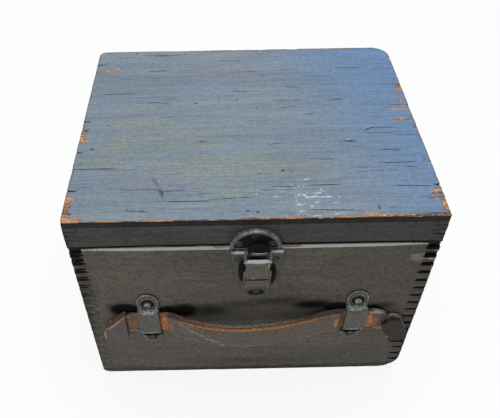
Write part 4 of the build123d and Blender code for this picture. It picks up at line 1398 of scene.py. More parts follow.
class Screws:
    """Sets rows of slotted screws with one Geometry Nodes tree."""

    SIZES = {"Head Radius": "head", "Head Rise": "rise", "Head Under": "under", "Slot Width": "slot",
             "Slot Depth": "slot_depth", "Shank Radius": "shank", "Shank Length": "length",
             "Sides": "sides", "Polish": "polish"}

    def __init__(self, yard: Yard) -> None:
        """Build the tree.

        Args:
            yard: what the screws are built with.
        """
        self.yard = yard
        self.sockets: dict[str, str] = {}
        self.tree = self._tree()

    def _tree(self) -> bpy.types.NodeTree:
        """Build the tree: a domed head with a slot, on a shank, at every point."""
        group = bpy.data.node_groups.new("Slotted Screws", "GeometryNodeTree")
        group.interface.new_socket("Geometry", in_out="INPUT", socket_type="NodeSocketGeometry")
        for name in self.SIZES:
            kind = "NodeSocketInt" if name == "Sides" else "NodeSocketFloat"
            socket = group.interface.new_socket(name, in_out="INPUT", socket_type=kind)
            self.sockets[name] = socket.identifier
        metal = group.interface.new_socket("Metal", in_out="INPUT", socket_type="NodeSocketMaterial")
        self.sockets["Metal"] = metal.identifier
        group.interface.new_socket("Geometry", in_out="OUTPUT", socket_type="NodeSocketGeometry")
        tree = Tree(group)
        start = tree.add("NodeGroupInput").outputs
        rows = tree.made("GeometryNodeInstanceOnPoints", {
            "Points": start["Geometry"], "Instance": self._head(tree, start), "Rotation": self._turned(tree)})
        real = tree.made("GeometryNodeRealizeInstances", {0: rows})
        dressed = tree.made("GeometryNodeSetMaterial", {"Geometry": real, "Material": start["Metal"]})
        tree.feed(tree.add("NodeGroupOutput").inputs[0], dressed)
        return group

    @staticmethod
    def _head(tree: Tree, start: bpy.types.bpy_prop_collection) -> Socket:
        """Make one screw at the origin, its head upwards and its slot along X.

        Args:
            tree: the geometry tree.
            start: the tree's named inputs.

        Returns:
            The screw.
        """
        ball = tree.made("GeometryNodeMeshUVSphere", {"Segments": start["Sides"], "Rings": 12, "Radius": 1.0})
        place = tree.parts(tree.made("GeometryNodeInputPosition", {}))
        above = tree.times(tree.math("MAXIMUM", place[2], 0.0), start["Head Rise"])
        below = tree.times(tree.math("MINIMUM", place[2], 0.0), start["Head Under"])
        across, along = (tree.times(side, start["Head Radius"]) for side in place[:2])
        formed = tree.xyz(across, along, tree.plus(above, below))
        dome = tree.made("GeometryNodeSetPosition", {"Geometry": ball, "Position": formed})
        rod = tree.made("GeometryNodeMeshCylinder", {"Vertices": 12, "Radius": start["Shank Radius"],
                                                     "Depth": start["Shank Length"]})
        drop = tree.xyz(0.0, 0.0, tree.times(start["Shank Length"], -0.5))
        sunk = tree.made("GeometryNodeTransform", {"Geometry": rod, "Translation": drop})
        whole = tree.add("GeometryNodeMeshBoolean", operation="UNION")
        for part in (dome, sunk):
            tree.feed(whole.inputs["Mesh 2"], part)
        size = tree.xyz(tree.times(start["Head Radius"], 2.6), start["Slot Width"],
                        tree.times(start["Slot Depth"], 2.0))
        bar = tree.made("GeometryNodeMeshCube", {"Size": size})
        lift = tree.xyz(0.0, 0.0, start["Head Rise"])
        raised = tree.made("GeometryNodeTransform", {"Geometry": bar, "Translation": lift})
        cut = tree.made("GeometryNodeMeshBoolean", {"Mesh 1": whole.outputs[0], "Mesh 2": raised},
                        operation="DIFFERENCE")
        height = tree.parts(tree.made("GeometryNodeInputPosition", {}))[2]
        share = tree.times(tree.math("DIVIDE", height, start["Head Rise"]), start["Polish"])
        return tree.made("GeometryNodeStoreNamedAttribute", {
            "Geometry": cut, "Name": WORN.value, "Value": share}, data_type="FLOAT", domain="POINT")

    @staticmethod
    def _turned(tree: Tree) -> Socket:
        """Point each screw along its own axis and turn its slot.

        Args:
            tree: the geometry tree.

        Returns:
            The rotation.
        """
        axis = tree.made("GeometryNodeInputNamedAttribute", {"Name": "axis"}, data_type="FLOAT_VECTOR")
        slot = tree.made("GeometryNodeInputNamedAttribute", {"Name": "slot_turn"}, data_type="FLOAT")
        aligned = tree.made("FunctionNodeAlignRotationToVector", {"Vector": axis}, axis="Z")
        twist = tree.made("FunctionNodeAxisAngleToRotation", {"Axis": (0.0, 0.0, 1.0), "Angle": slot})
        return tree.made("FunctionNodeRotateRotation", {0: aligned, 1: twist}, rotation_space="LOCAL")

    def heads(self, node: str, axis: Vector, seat: float) -> list[Vector]:
        """Find where the heads of a node's screws seat.

        Args:
            node: the CAD node.
            axis: the way that the heads face.
            seat: how far the seat lies below the head's highest point.

        Returns:
            One place a screw, in the order of X, Z and Y.
        """
        form = CutForm(self.yard.frame, node).form
        places, left = [], set(form.verts)
        while left:
            island, edge = set(), [left.pop()]
            while edge:
                corner = edge.pop()
                island.add(corner)
                near = {link.other_vert(corner) for link in corner.link_edges} & left
                left -= near
                edge.extend(near)
            spots = [corner.co for corner in island]
            low = Vector([min(spot[i] for spot in spots) for i in range(3)])
            high = Vector([max(spot[i] for spot in spots) for i in range(3)])
            middle = (low + high) / 2.0
            reach = max(spot.dot(axis) for spot in spots) - seat
            places.append(middle + axis * (reach - middle.dot(axis)))
        form.free()
        return sorted(places, key=lambda spot: (round(spot.x, 4), round(spot.z, 4), round(spot.y, 4)))

    def build(self, node: str, body: str, slot: str, kind: ScrewKind, finish: Finish, axis: Triple,
              seat: float = 0.0, turns: Sequence[float] = (), marks: Sequence[Mark] = ()) -> bpy.types.Object:
        """Build the screws of one CAD node.

        Args:
            node: the CAD node.
            body: the body that they ride on.
            slot: the record's slot.
            kind: their sizes.
            finish: their finish.
            axis: the way that their heads face.
            seat: how far the seat lies below the highest point of the CAD's own head.
            turns: the slots' turns in degrees, before seeded ones are drawn.
            marks: marks of age, or painted shade, on them.

        Returns:
            The piece.
        """
        draw = random.Random(len(node))
        places = self.heads(node, Vector(axis), seat)
        mesh = bpy.data.meshes.new(f"{node}_points")
        mesh.from_pydata([place[:] for place in places], [], [])
        angles = [math.radians(turn) for turn in turns]
        angles += [draw.uniform(0.0, math.pi) for _ in places[len(angles):]]
        mesh.attributes.new("axis", "FLOAT_VECTOR", "POINT").data.foreach_set("vector",
                                                                              list(axis) * len(places))
        mesh.attributes.new("slot_turn", "FLOAT", "POINT").data.foreach_set("value", angles)
        points = bpy.data.objects.new(f"{node}_points", mesh)
        bpy.context.scene.collection.objects.link(points)
        rows = points.modifiers.new("Screws", "NODES")
        rows.node_group = self.tree
        for name, attribute in self.SIZES.items():
            rows[self.sockets[name]] = getattr(kind, attribute)
        rows[self.sockets["Metal"]] = self.yard.finish(finish)
        graph = bpy.context.evaluated_depsgraph_get()
        made = bpy.data.meshes.new_from_object(points.evaluated_get(graph))
        bpy.data.objects.remove(points)
        made.name = f"{node}_slotted"
        spots = np.array([corner.co[:] for corner in made.vertices])
        for channel in (DARK, PALE):
            values = np.zeros(len(spots))
            for mark in (mark for mark in marks if mark.channel == channel):
                values = np.maximum(values, mark.strength * mark.share(spots))
            made.attributes.new(channel.value, "FLOAT", "POINT").data.foreach_set("value", values)
        made.materials.clear()
        made.polygons.foreach_set("use_smooth", [True] * len(made.polygons))
        made.set_sharp_from_angle(angle=math.radians(40.0))
        return self.yard.piece(f"{node}_slotted", made, (finish,), body, slot, node)


@dataclass
class StrapHandle:
    """The leather strap that slides in its loops, with its grip layer and its two stops.

    Years of hanging have bent the soft ends: the right end sags, and its stop has swung round.
    """

    rounding: float = 0.55 * MM
    pitch: Triple = (1.3 * MM, 0.0, 1.2 * MM)
    sag_from: float = 98.5 * MM
    sag_radius: float = 34.0 * MM
    sag_most: float = 3.4 * MM
    sag_slope: float = 0.1
    tip_left: float = -107.0 * MM
    tip_left_share: float = 0.1
    tip_right: float = 112.0 * MM
    tip_right_share: float = 0.45
    swing: float = math.radians(58.0)
    swing_from: tuple[float, float] = (121.9 * MM, 79.8 * MM)
    swing_to: tuple[float, float] = (122.6 * MM, 74.8 * MM)
    swing_shrink: tuple[float, float] = (0.82, 0.96)
    left_foot: tuple[float, float] = (70.8 * MM, 69.4 * MM)
    left_edge: float = -106.0 * MM
    left_wide: float = 21.0 * MM
    left_fall: Triple = (0.975, -0.42, -0.1)
    left_face: float = -120.2 * MM
    left_thinned: tuple[float, float] = (0.5, 2.4)

    def relaxed(self, places: Points) -> Points:
        """Let the right end of the strap sag, and draw both ends in under their stops.

        Args:
            places: the strap's points.

        Returns:
            The points in their new places.
        """
        moved = places.copy()
        past = np.maximum(places[:, 0] - self.sag_from, 0.0)
        sag = np.minimum(past ** 2 / (2.0 * self.sag_radius), self.sag_most + self.sag_slope * past)
        moved[:, 2] -= sag
        drawn = np.maximum(moved[:, 0] - self.tip_right, 0.0) * (1.0 - self.tip_right_share)
        moved[:, 0] -= drawn
        moved[:, 2] += drawn / 2.0
        moved[:, 0] -= np.minimum(moved[:, 0] - self.tip_left, 0.0) * (1.0 - self.tip_left_share)
        return moved

    def swung(self, places: Points) -> Points:
        """Swing the right stop round its own middle, and narrow it.

        Args:
            places: the stop's points.

        Returns:
            The points in their new places.
        """
        across = places[:, 0] - self.swing_from[0]
        up = places[:, 2] - self.swing_from[1]
        moved = places.copy()
        wide, tall = self.swing_shrink
        moved[:, 0] = self.swing_to[0] + wide * (across * math.cos(self.swing) - up * math.sin(self.swing))
        moved[:, 2] = self.swing_to[1] + tall * (across * math.sin(self.swing) + up * math.cos(self.swing))
        return moved

    def lowered(self, places: Points) -> Points:
        """Draw the left stop's outer corner down, and thin its inner edge.

        Args:
            places: the stop's points.

        Returns:
            The points in their new places.
        """
        moved = places.copy()
        across = np.clip((self.left_edge - places[:, 0]) / self.left_wide, 0.0, 1.0)
        share = sum(factor * across ** power for power, factor in enumerate(self.left_fall))
        moved[:, 2] = self.left_foot[1] + (places[:, 2] - self.left_foot[0]) * share
        proud = np.maximum(self.left_face - places[:, 1], 0.0)
        most, fade = self.left_thinned
        moved[:, 1] += proud * most * np.clip(1.0 - fade * across, 0.0, 1.0)
        return moved

    def build(self, yard: Yard) -> None:
        """Build every layer.

        Args:
            yard: what they are built with.
        """
        base = OldLeather("Strap leather", hide=(0.06, 0.04, 0.028), brown=(0.15, 0.092, 0.055), scuffed=0.5,
                          tan=(0.4, 0.17, 0.048), blotch=0.6)
        grip = OldLeather("Grip leather", hide=(0.06, 0.047, 0.038), brown=(0.12, 0.093, 0.073), scuffed=0.35,
                          tan=(0.5, 0.21, 0.06), blotch=0.45)
        stop = OldLeather("Left stop leather", hide=(0.062, 0.053, 0.051), brown=(0.09, 0.078, 0.074),
                          scuffed=0.15, tan=(0.55, 0.24, 0.08), scuff=(0.22, 0.18, 0.18))
        dark_stop = replace(stop, name="Right stop leather", hide=(0.018, 0.013, 0.012),
                            brown=(0.034, 0.024, 0.021), scuff=(0.34, 0.3, 0.27), blotch=0.3, mirror=0.14)
        tan = [Mark(WORN, (-101, -120, 88), (9, 6, 10), 0.52),
               Mark(WORN, (-103, -120, 77), (7, 6, 1.7), 0.9),
               Mark(WORN, (-105.5, -120, 98), (3.6, 6, 1.8), 0.95),
               Mark(PALE, (-99, -118, 100.5), (7, 4, 1.2), 0.62),
               Mark(WORN, (-74.5, -121, 88), (4.2, 6, 12), 0.9, hard=4),
               Mark(WORN, (-74, -119, 100.5), (9, 6, 1.5), 0.6),
               Mark(WORN, (99.5, -120, 84), (4, 6, 14), 0.85, hard=3),
               Mark(WORN, (104, -120, 84), (9, 6, 12), 0.5),
               Mark(WORN, (108, -120, 74.5), (10, 6, 2.2), 0.9),
               Mark(PALE, (106, -118, 98), (13, 3.6, 3), 0.85, hard=4),
               Mark(WORN, (-20, -124, 99.9), (60, 12, 0.8), 0.5, hard=6),
               Mark(PALE, (-10, -128, 101), (68, 16, 1.4), 0.58, hard=4)]
        scuffs = [Mark(PALE, (-64 + 4.3 * step, -126 - 1.3 * step, 97 - 2.1 * step + step % 3 * 0.8),
                       (4.2, 9, 1.2 + step % 2 * 1), 0.62, tilt=-26)
                  for step in range(10)]
        scuffs += [Mark(PALE, (14 + 5 * step, -130, 86 + 1.5 * step), (3.4, 9, 2.4), 0.4)
                   for step in range(4)]
        scuffs += [Mark(PALE, (0, -128, 100.6), (70, 16, 1.2), 0.4, hard=4)]
        patch = [Mark(WORN, (0, -128, 100), (80, 16, 0.6), 0.72, hard=6),
                 Mark(PALE, (-50, -128, 90), (18, 9, 3), 0.36, tilt=-26),
                 Mark(WORN, (-6, -135, 76.4), (12, 6, 1.5), 0.95),
                 Mark(WORN, (-69, -124, 88), (5, 6, 12), 0.55),
                 Mark(PALE, (-38, -130, 84), (5, 9, 2.4), 0.7),
                 Mark(PALE, (-17, -134, 78.5), (4, 9, 1.4), 0.7),
                 Mark(DARK, (-62, -126, 80), (12, 9, 4), 0.26),
                 Mark(WORN, (71, -124, 88), (3.4, 6, 12), 0.6),
                 Mark(WORN, (-50, -126, 76.6), (28, 9, 0.9), 0.85),
                 Mark(WORN, (46, -126, 76.6), (30, 9, 1), 0.9),
                 Mark(DARK, (12, -132, 75.9), (30, 9, 0.6), 0.8),
                 Mark(WORN, (54, -124, 92), (3, 6, 8), 0.5), Mark(DARK, (-20, -135, 78), (34, 9, 2), 0.3)]
        leather = {"body": "strap", "slot": "strap_leather", "rounding": self.rounding, "segments": 3,
                   "pitch": self.pitch, "reach": 0.6 * MM, "dents": 0.18 * MM}
        Fitting("strap", finish=base, edge_wear=0.42, marks=tan, reshape=self.relaxed, **leather).build(yard)
        Fitting("strap_grip", finish=grip, edge_wear=0.92, marks=[*scuffs, *patch], **leather).build(yard)
        leather["rounding"] = 1.1 * MM
        left = [Mark(WORN, (-115, -122.6, 93), (15, 3.2, 1.2), 0.95, tilt=44, hard=3),
                Mark(WORN, (-125.8, -123, 78), (1.3, 3, 9), hard=4),
                Mark(PALE, (-114, -117.5, 92.6), (16, 4.4, 2.6), 0.7, tilt=42, hard=6),
                Mark(PALE, (-115, -123.6, 70.4), (9, 2, 0.7), 0.5),
                Mark(DARK, (-106.2, -121, 86), (0.8, 6, 16), 0.7)]
        right = [Mark(PALE, (125, -118.4, 84), (20, 4.1, 24), 0.85, hard=8),
                 Mark(WORN, (115.5, -121.5, 64), (4, 4, 5.5), 1.1),
                 Mark(WORN, (131.5, -121, 64), (2.4, 3, 5)),
                 Mark(DARK, (125.5, -123, 58.5), (10, 3, 2.6), 0.9),
                 Mark(DARK, (112, -123.5, 88), (2.6, 2, 3), 0.8)]
        Fitting("strap_stop_left", finish=stop, edge_wear=0.3, marks=left, reshape=self.lowered,
                **leather).build(yard)
        Fitting("strap_stop_right", finish=dark_stop, edge_wear=0.34, marks=right, reshape=self.swung,
                **leather).build(yard)


@dataclass
class Catch:
    """The draw catch: strike plate, base, lever and link, with their pins."""

    middle: float = 2.0 * MM
    hood_height: float = 188.3 * MM
    hood_half: tuple[float, float] = (8.6 * MM, 6.2 * MM)
    hood_dome: float = 1.5 * MM
    hood_from: float = -124.4 * MM

    def domed(self, places: Points) -> Points:
        """Beat the link's thumb hood into a dome.

        Args:
            places: the link's points.

        Returns:
            The points, with those of the hood moved outwards.
        """
        across = (places[:, 0] - self.middle) / self.hood_half[0]
        up = (places[:, 2] - self.hood_height) / self.hood_half[1]
        share = np.clip(1.0 - across ** 2 - up ** 2, 0.0, 1.0) * (places[:, 1] < self.hood_from)
        moved = places.copy()
        moved[:, 1] -= self.hood_dome * share
        return moved

    def build(self, yard: Yard) -> None:
        """Build every part of the catch.

        Args:
            yard: what they are built with.
        """
        strike = AgedMetal("Strike metal", coat=(0.055, 0.066, 0.062), haze=(0.1, 0.115, 0.108),
                           bright=(0.26, 0.29, 0.28), rust=(0.1, 0.07, 0.04), shine=0.2, blotch=0.45,
                           black=(0.012, 0.0135, 0.0145))
        plate = replace(strike, name="Catch plate metal", coat=(0.034, 0.033, 0.028),
                        haze=(0.066, 0.063, 0.053), bright=(0.24, 0.25, 0.23), bloom_and_highlight=(0.34, 0.38, 0.39),
                        rubbed=0.6, blotch=0.55)
        lever = AgedMetal("Catch brass", coat=(0.066, 0.06, 0.048), haze=(0.12, 0.108, 0.082),
                          bright=(0.4, 0.25, 0.1), rust=(0.05, 0.04, 0.03), gloss=0.36, shine=0.3,
                          rubbed=0.45, blotch=0.42, black=(0.012, 0.011, 0.009))
        link = replace(lever, name="Link brass", coat=(0.06, 0.056, 0.047), haze=(0.115, 0.104, 0.084),
                       bloom_and_highlight=(0.36, 0.4, 0.42), black=(0.008, 0.0085, 0.0095))
        # Painted shade over the strike plate's recessed, forward-facing centre, inside its rim.
        dish_shade = [Mark(DARK, (0.4, -117.7, 183), (16.8, 0.9, 16.5), 1.3, hard=7)]
        # Painted highlights on the upward-facing top edges of the base plate and of its two cheeks beside the
        # lever.
        edge = [Mark(PALE, (-11, -118.2, 175.6), (7.6, 3, 1.5), hard=4),
                Mark(PALE, (17, -118.2, 176.2), (6.6, 3, 1.4), hard=4),
                Mark(PALE, (-8.9, -122, 163), (1.2, 3.4, 13), 0.5, hard=4),
                Mark(PALE, (13.4, -122, 157), (1.2, 3.4, 12), 0.6, hard=4)]
        # One rubbed brass spot; the rest is painted shade on the base plate: behind the lever, between it and
        # each cheek, and below its end.
        brass = [Mark(WORN, (20.5, -118, 177.5), (2.4, 3, 1.2), 0.9),
                 Mark(DARK, (2.4, -117, 126), (8, 2.6, 5), 1.2, hard=5),
                 Mark(DARK, (-9.6, -117, 155), (3.2, 2.2, 17), 1.1, hard=5),
                 Mark(DARK, (14.6, -117, 150), (3.2, 2.2, 15), 1.1, hard=5),
                 Mark(DARK, (2, -117, 156), (11, 2.6, 22), hard=5)]
        # The link: the hood darkened all over, with a painted highlight across its middle and a rubbed bright
        # rim below; painted shade in the gap under the hood and a painted highlight on the upward-facing bar
        # beneath it; a faint darker patch lower down; rubbed brass at three edges.
        hood = [Mark(DARK, (2.6, -127, 191.6), (10.5, 8, 3.4), 1.3, hard=6),
                Mark(DARK, (1, -125, 165.5), (8, 1.6, 4.6), 0.3),
                Mark(DARK, (2.6, -127, 185.9), (10.5, 6, 1.1), hard=5),
                Mark(DARK, (-5.4, -127, 189), (2.8, 6, 4)), Mark(DARK, (10.6, -127, 189), (2.8, 6, 4)),
                Mark(PALE, (2, -129.4, 187.7), (5.4, 3, 0.8), 0.9),
                Mark(WORN, (2, -127, 184), (7.8, 4, 0.6), 0.9),
                Mark(DARK, (2, -122, 178.5), (9, 9, 4.2), hard=5),
                Mark(PALE, (2, -124, 172), (11.5, 6, 2), 1.1, hard=6),
                Mark(WORN, (-0.8, -124.8, 152.8), (2, 1.5, 0.7), 0.95),
                Mark(WORN, (10.6, -124.8, 167.2), (0.8, 2, 4), 0.95),
                Mark(WORN, (-7.2, -124.8, 162), (0.5, 2, 9), 0.6)]
        Fitting("strike_plate", "lid", "catch_metal", strike, marks=dish_shade, edge_wear=0.5).build(yard)
        Fitting("catch_base", "case", "catch_metal", plate, marks=[*edge, *brass], edge_wear=0.45).build(yard)
        Fitting("catch_lever", "catch_lever", "catch_worn", lever, edge_wear=0.42,
                pitch=(0.9 * MM, 0.0, 0.9 * MM)).build(yard)
        Fitting("draw_link", "draw_link", "catch_worn", link, edge_wear=0.42, marks=hood, reshape=self.domed,
                pitch=(0.8 * MM, 0.0, 0.8 * MM), rounding=0.3 * MM, segments=3).build(yard)
        for node, body in (("catch_lever_pin", "catch_lever"), ("draw_link_pin", "draw_link")):
            Fitting(node, body, "catch_metal", lever, pitch=(1.0 * MM, 0.0, 0.0)).build(yard)


@dataclass
class Ironwork:
    """The strap's loops, the hinges and every screw and brad."""

    dome: ScrewKind = ScrewKind()
    flush: ScrewKind = ScrewKind(head=2.95 * MM, rise=0.35 * MM, under=1.4 * MM, slot=0.8 * MM,
                                 slot_depth=0.55 * MM)
    brad: ScrewKind = ScrewKind(head=2.1 * MM, rise=0.06 * MM, under=0.9 * MM, slot=0.1 * MM,
                                slot_depth=0.01 * MM, shank=0.85 * MM, length=18.0 * MM, sides=14,
                                polish=0.0)

    def build(self, yard: Yard, paint: Finish) -> None:
        """Build the loops, the hinges, the screws and the brads.

        Args:
            yard: what they are built with.
            paint: the paint that covers the lid's brads.
        """
        loop = AgedMetal("Loop steel", coat=(0.05, 0.048, 0.041), haze=(0.098, 0.09, 0.076),
                         bright=(0.3, 0.33, 0.33), bloom_and_highlight=(0.36, 0.43, 0.44), shine=0.2, blotch=0.5)
        hinge = AgedMetal("Hinge steel", coat=(0.04, 0.038, 0.034), haze=(0.08, 0.075, 0.068),
                          bright=(0.34, 0.33, 0.31), rusty=0.4)
        for side, x in (("left", -87.0), ("right", 87.0)):
            # Each loop: darker round the upper screw, painted shade in the groove round its boss and painted
            # highlights on the boss's rims; painted shadow under the bridge over the lower tab and its screw;
            # a painted highlight on the bridge's upper bend with painted shade on the plate just above it; a
            # painted highlight along the bridge's lower edge.
            marks = [Mark(DARK, (x, -117, 111.6), (5.6, 1.2, 5.6), 1.1, hard=6),
                     Mark(DARK, (x, -117, 112), (7.4, 1.6, 9.4), 0.5, ring=0.09),
                     Mark(PALE, (x, -117, 112.2), (6.2, 1.6, 6.8), 0.45, ring=0.07),
                     Mark(PALE, (x, -117, 112.6), (8.7, 1.6, 10.6), 0.6, ring=0.06),
                     Mark(DARK, (x, -116.5, 67.5), (10.5, 2.4, 3.4), hard=5),
                     Mark(DARK, (x, -116.8, 63), (4.6, 1.6, 4.6), 0.9, hard=5),
                     Mark(PALE, (x, -119.6, 104.4), (10, 3.3, 2.6), 0.5, hard=6),
                     Mark(DARK, (x, -116.8, 105.6), (9, 0.9, 1), 0.5),
                     Mark(PALE, (x, -122.6, 77.4), (9.4, 0.8, 0.5), 0.75, hard=4)]
            Fitting(f"strap_loop_{side}", "case", "loop_steel", loop, marks=marks, edge_wear=0.5,
                    pitch=(0.9 * MM, 0.0, 0.8 * MM)).build(yard)
            Fitting(f"hinge_case_leaf_{side}", "case", "hinge_steel", hinge).build(yard)
            Fitting(f"hinge_lid_leaf_{side}", "lid", "hinge_steel", hinge).build(yard)
            Fitting(f"hinge_pin_{side}", "case", "hinge_steel", hinge, pitch=(2.0 * MM, 0.0, 0.0)).build(yard)
        screws = Screws(yard)
        steel = AgedMetal("Screw steel", coat=(0.03, 0.029, 0.028), haze=(0.075, 0.07, 0.068),
                          bright=(0.25, 0.24, 0.23))
        # Darker steel for the catch's flush screws: dull steel, partly painted shade, as they sit in the
        # strike plate's shaded dish and on the shaded base plate behind the lever.
        dull = replace(steel, name="Dull screw steel", bright=(0.05, 0.054, 0.056), coat=(0.01, 0.011, 0.012),
                       haze=(0.03, 0.032, 0.033), shine=0.1, mirror=0.2)
        rusty = AgedMetal("Brad iron", rusty=0.6)
        outward, upward, downward = (0.0, -1.0, 0.0), (0.0, 0.0, 1.0), (0.0, 0.0, -1.0)
        slot = "steel_screws"
        shade = [Mark(DARK, (x, -117.5, 63), (6, 6, 5.5), 0.55, hard=6) for x in (-87.0, 87.0)]
        screws.build("strap_loop_screws", "case", slot, self.dome, steel, outward, 2.2 * MM,
                     (20.0, 35.0, 10.0, 88.0), shade)
        screws.build("catch_base_screws", "case", slot, self.flush, dull, outward, 0.0, (30.0, 100.0, 48.0))
        screws.build("strike_screws", "lid", slot, self.flush, dull, outward, 0.0, (15.0, 130.0, 42.0))
        screws.build("hinge_case_screws", "case", slot, self.flush, steel, upward)
        screws.build("hinge_lid_screws", "lid", slot, self.flush, steel, downward)
        screws.build("keeper_screw", "case", slot, replace(self.dome, length=17.0 * MM), steel, upward,
                     2.2 * MM)
        screws.build("lid_brads", "lid", "iron_brads", self.brad, paint, upward, 0.2 * MM)
        screws.build("bottom_brads", "case", "iron_brads", self.brad, rusty, downward, 0.2 * MM)


def build_inside(yard: Yard) -> None:
    """Dress the seats, the partition, the keeper and the lid's pads.

    Args:
        yard: what they are built with.
    """
    plain = BareTimber("Fitting wood")
    across = BareTimber("Keeper wood", light=(0.3, 0.14, 0.05), dark=(0.14, 0.06, 0.02), bands=60.0)
    baize = Baize("Green baize")
    wood = {"slot": "wood_inside", "rounding": 0.6 * MM, "segments": 3,
            "pitch": (4.0 * MM, 4.0 * MM, 4.0 * MM), "dents": 0.12 * MM}
    cloth = {"slot": "felt", "rounding": 0.5 * MM, "pitch": (2.0 * MM, 2.0 * MM, 0.0), "dents": 0.2 * MM}
    for node in ("saddle_left", "saddle_right", "accessory_partition"):
        Fitting(node, "case", finish=plain, **wood).build(yard)
    Fitting("keeper", "keeper", finish=across, **wood).build(yard)
    Fitting("lid_pads", "lid", finish=plain, **wood).build(yard)
    Fitting("saddle_felts", "case", finish=baize, **cloth).build(yard)
    Fitting("lid_pad_felts", "lid", finish=baize, **cloth).build(yard)


# ------------------------------------------------------------ lid and case


LID_TOP = 209.0
FRONT = -115.0
SEAM = 180.0
FINGERS = 18
FINGER_PITCH = 9.942
JOINT_EDGES = (-0.9, -0.4, 0.4, 0.9)
FIRST_JOINT = 172.55
OPEN_JOINTS = (2.5, 2.3, 2.0, 1.7, 1.2)
BARE_FINGERS = 7
SCRATCHES = 46
FLECKS = 130


def top_mark(channel: Channel, x: float, y: float, half: tuple[float, float], strength: float = 1.0,
             depth: float = 0.0, turn: float = 0.0, hard: float = 2.0) -> Mark:
    """Make a mark on the lid's upper face, in millimetres.

    Args:
        channel: what it does there.
        x: its centre along the front.
        y: its centre towards the back.
        half: its half sizes along and across.
        strength: how strong it is.
        depth: how deep it is cut.
        turn: how far it is turned, in degrees.
        hard: how sharp its edge is.

    Returns:
        The mark.
    """
    return Mark(channel, (x, y, LID_TOP), (*half, 1.6), strength, depth, turn, hard)


def front_mark(channel: Channel, x: float, z: float, half: tuple[float, float], strength: float = 1.0,
               depth: float = 0.0, hard: float = 2.0) -> Mark:
    """Make a mark on the front, in millimetres.

    Args:
        channel: what it does there.
        x: its centre along the front.
        z: its height.
        half: its half sizes along and up.
        strength: how strong it is.
        depth: how deep it is cut.
        hard: how sharp its edge is.

    Returns:
        The mark.
    """
    return Mark(channel, (x, FRONT, z), (half[0], 3.0, half[1]), strength, depth, 0.0, hard)


def patches(place: Callable[..., Mark], channel: Channel, rows: Sequence[tuple[float, ...]]) -> list[Mark]:
    """Make one soft patch a row: its centre, its half sizes and its strength."""
    return [place(channel, *centre, (wide, tall), strength) for *centre, wide, tall, strength in rows]


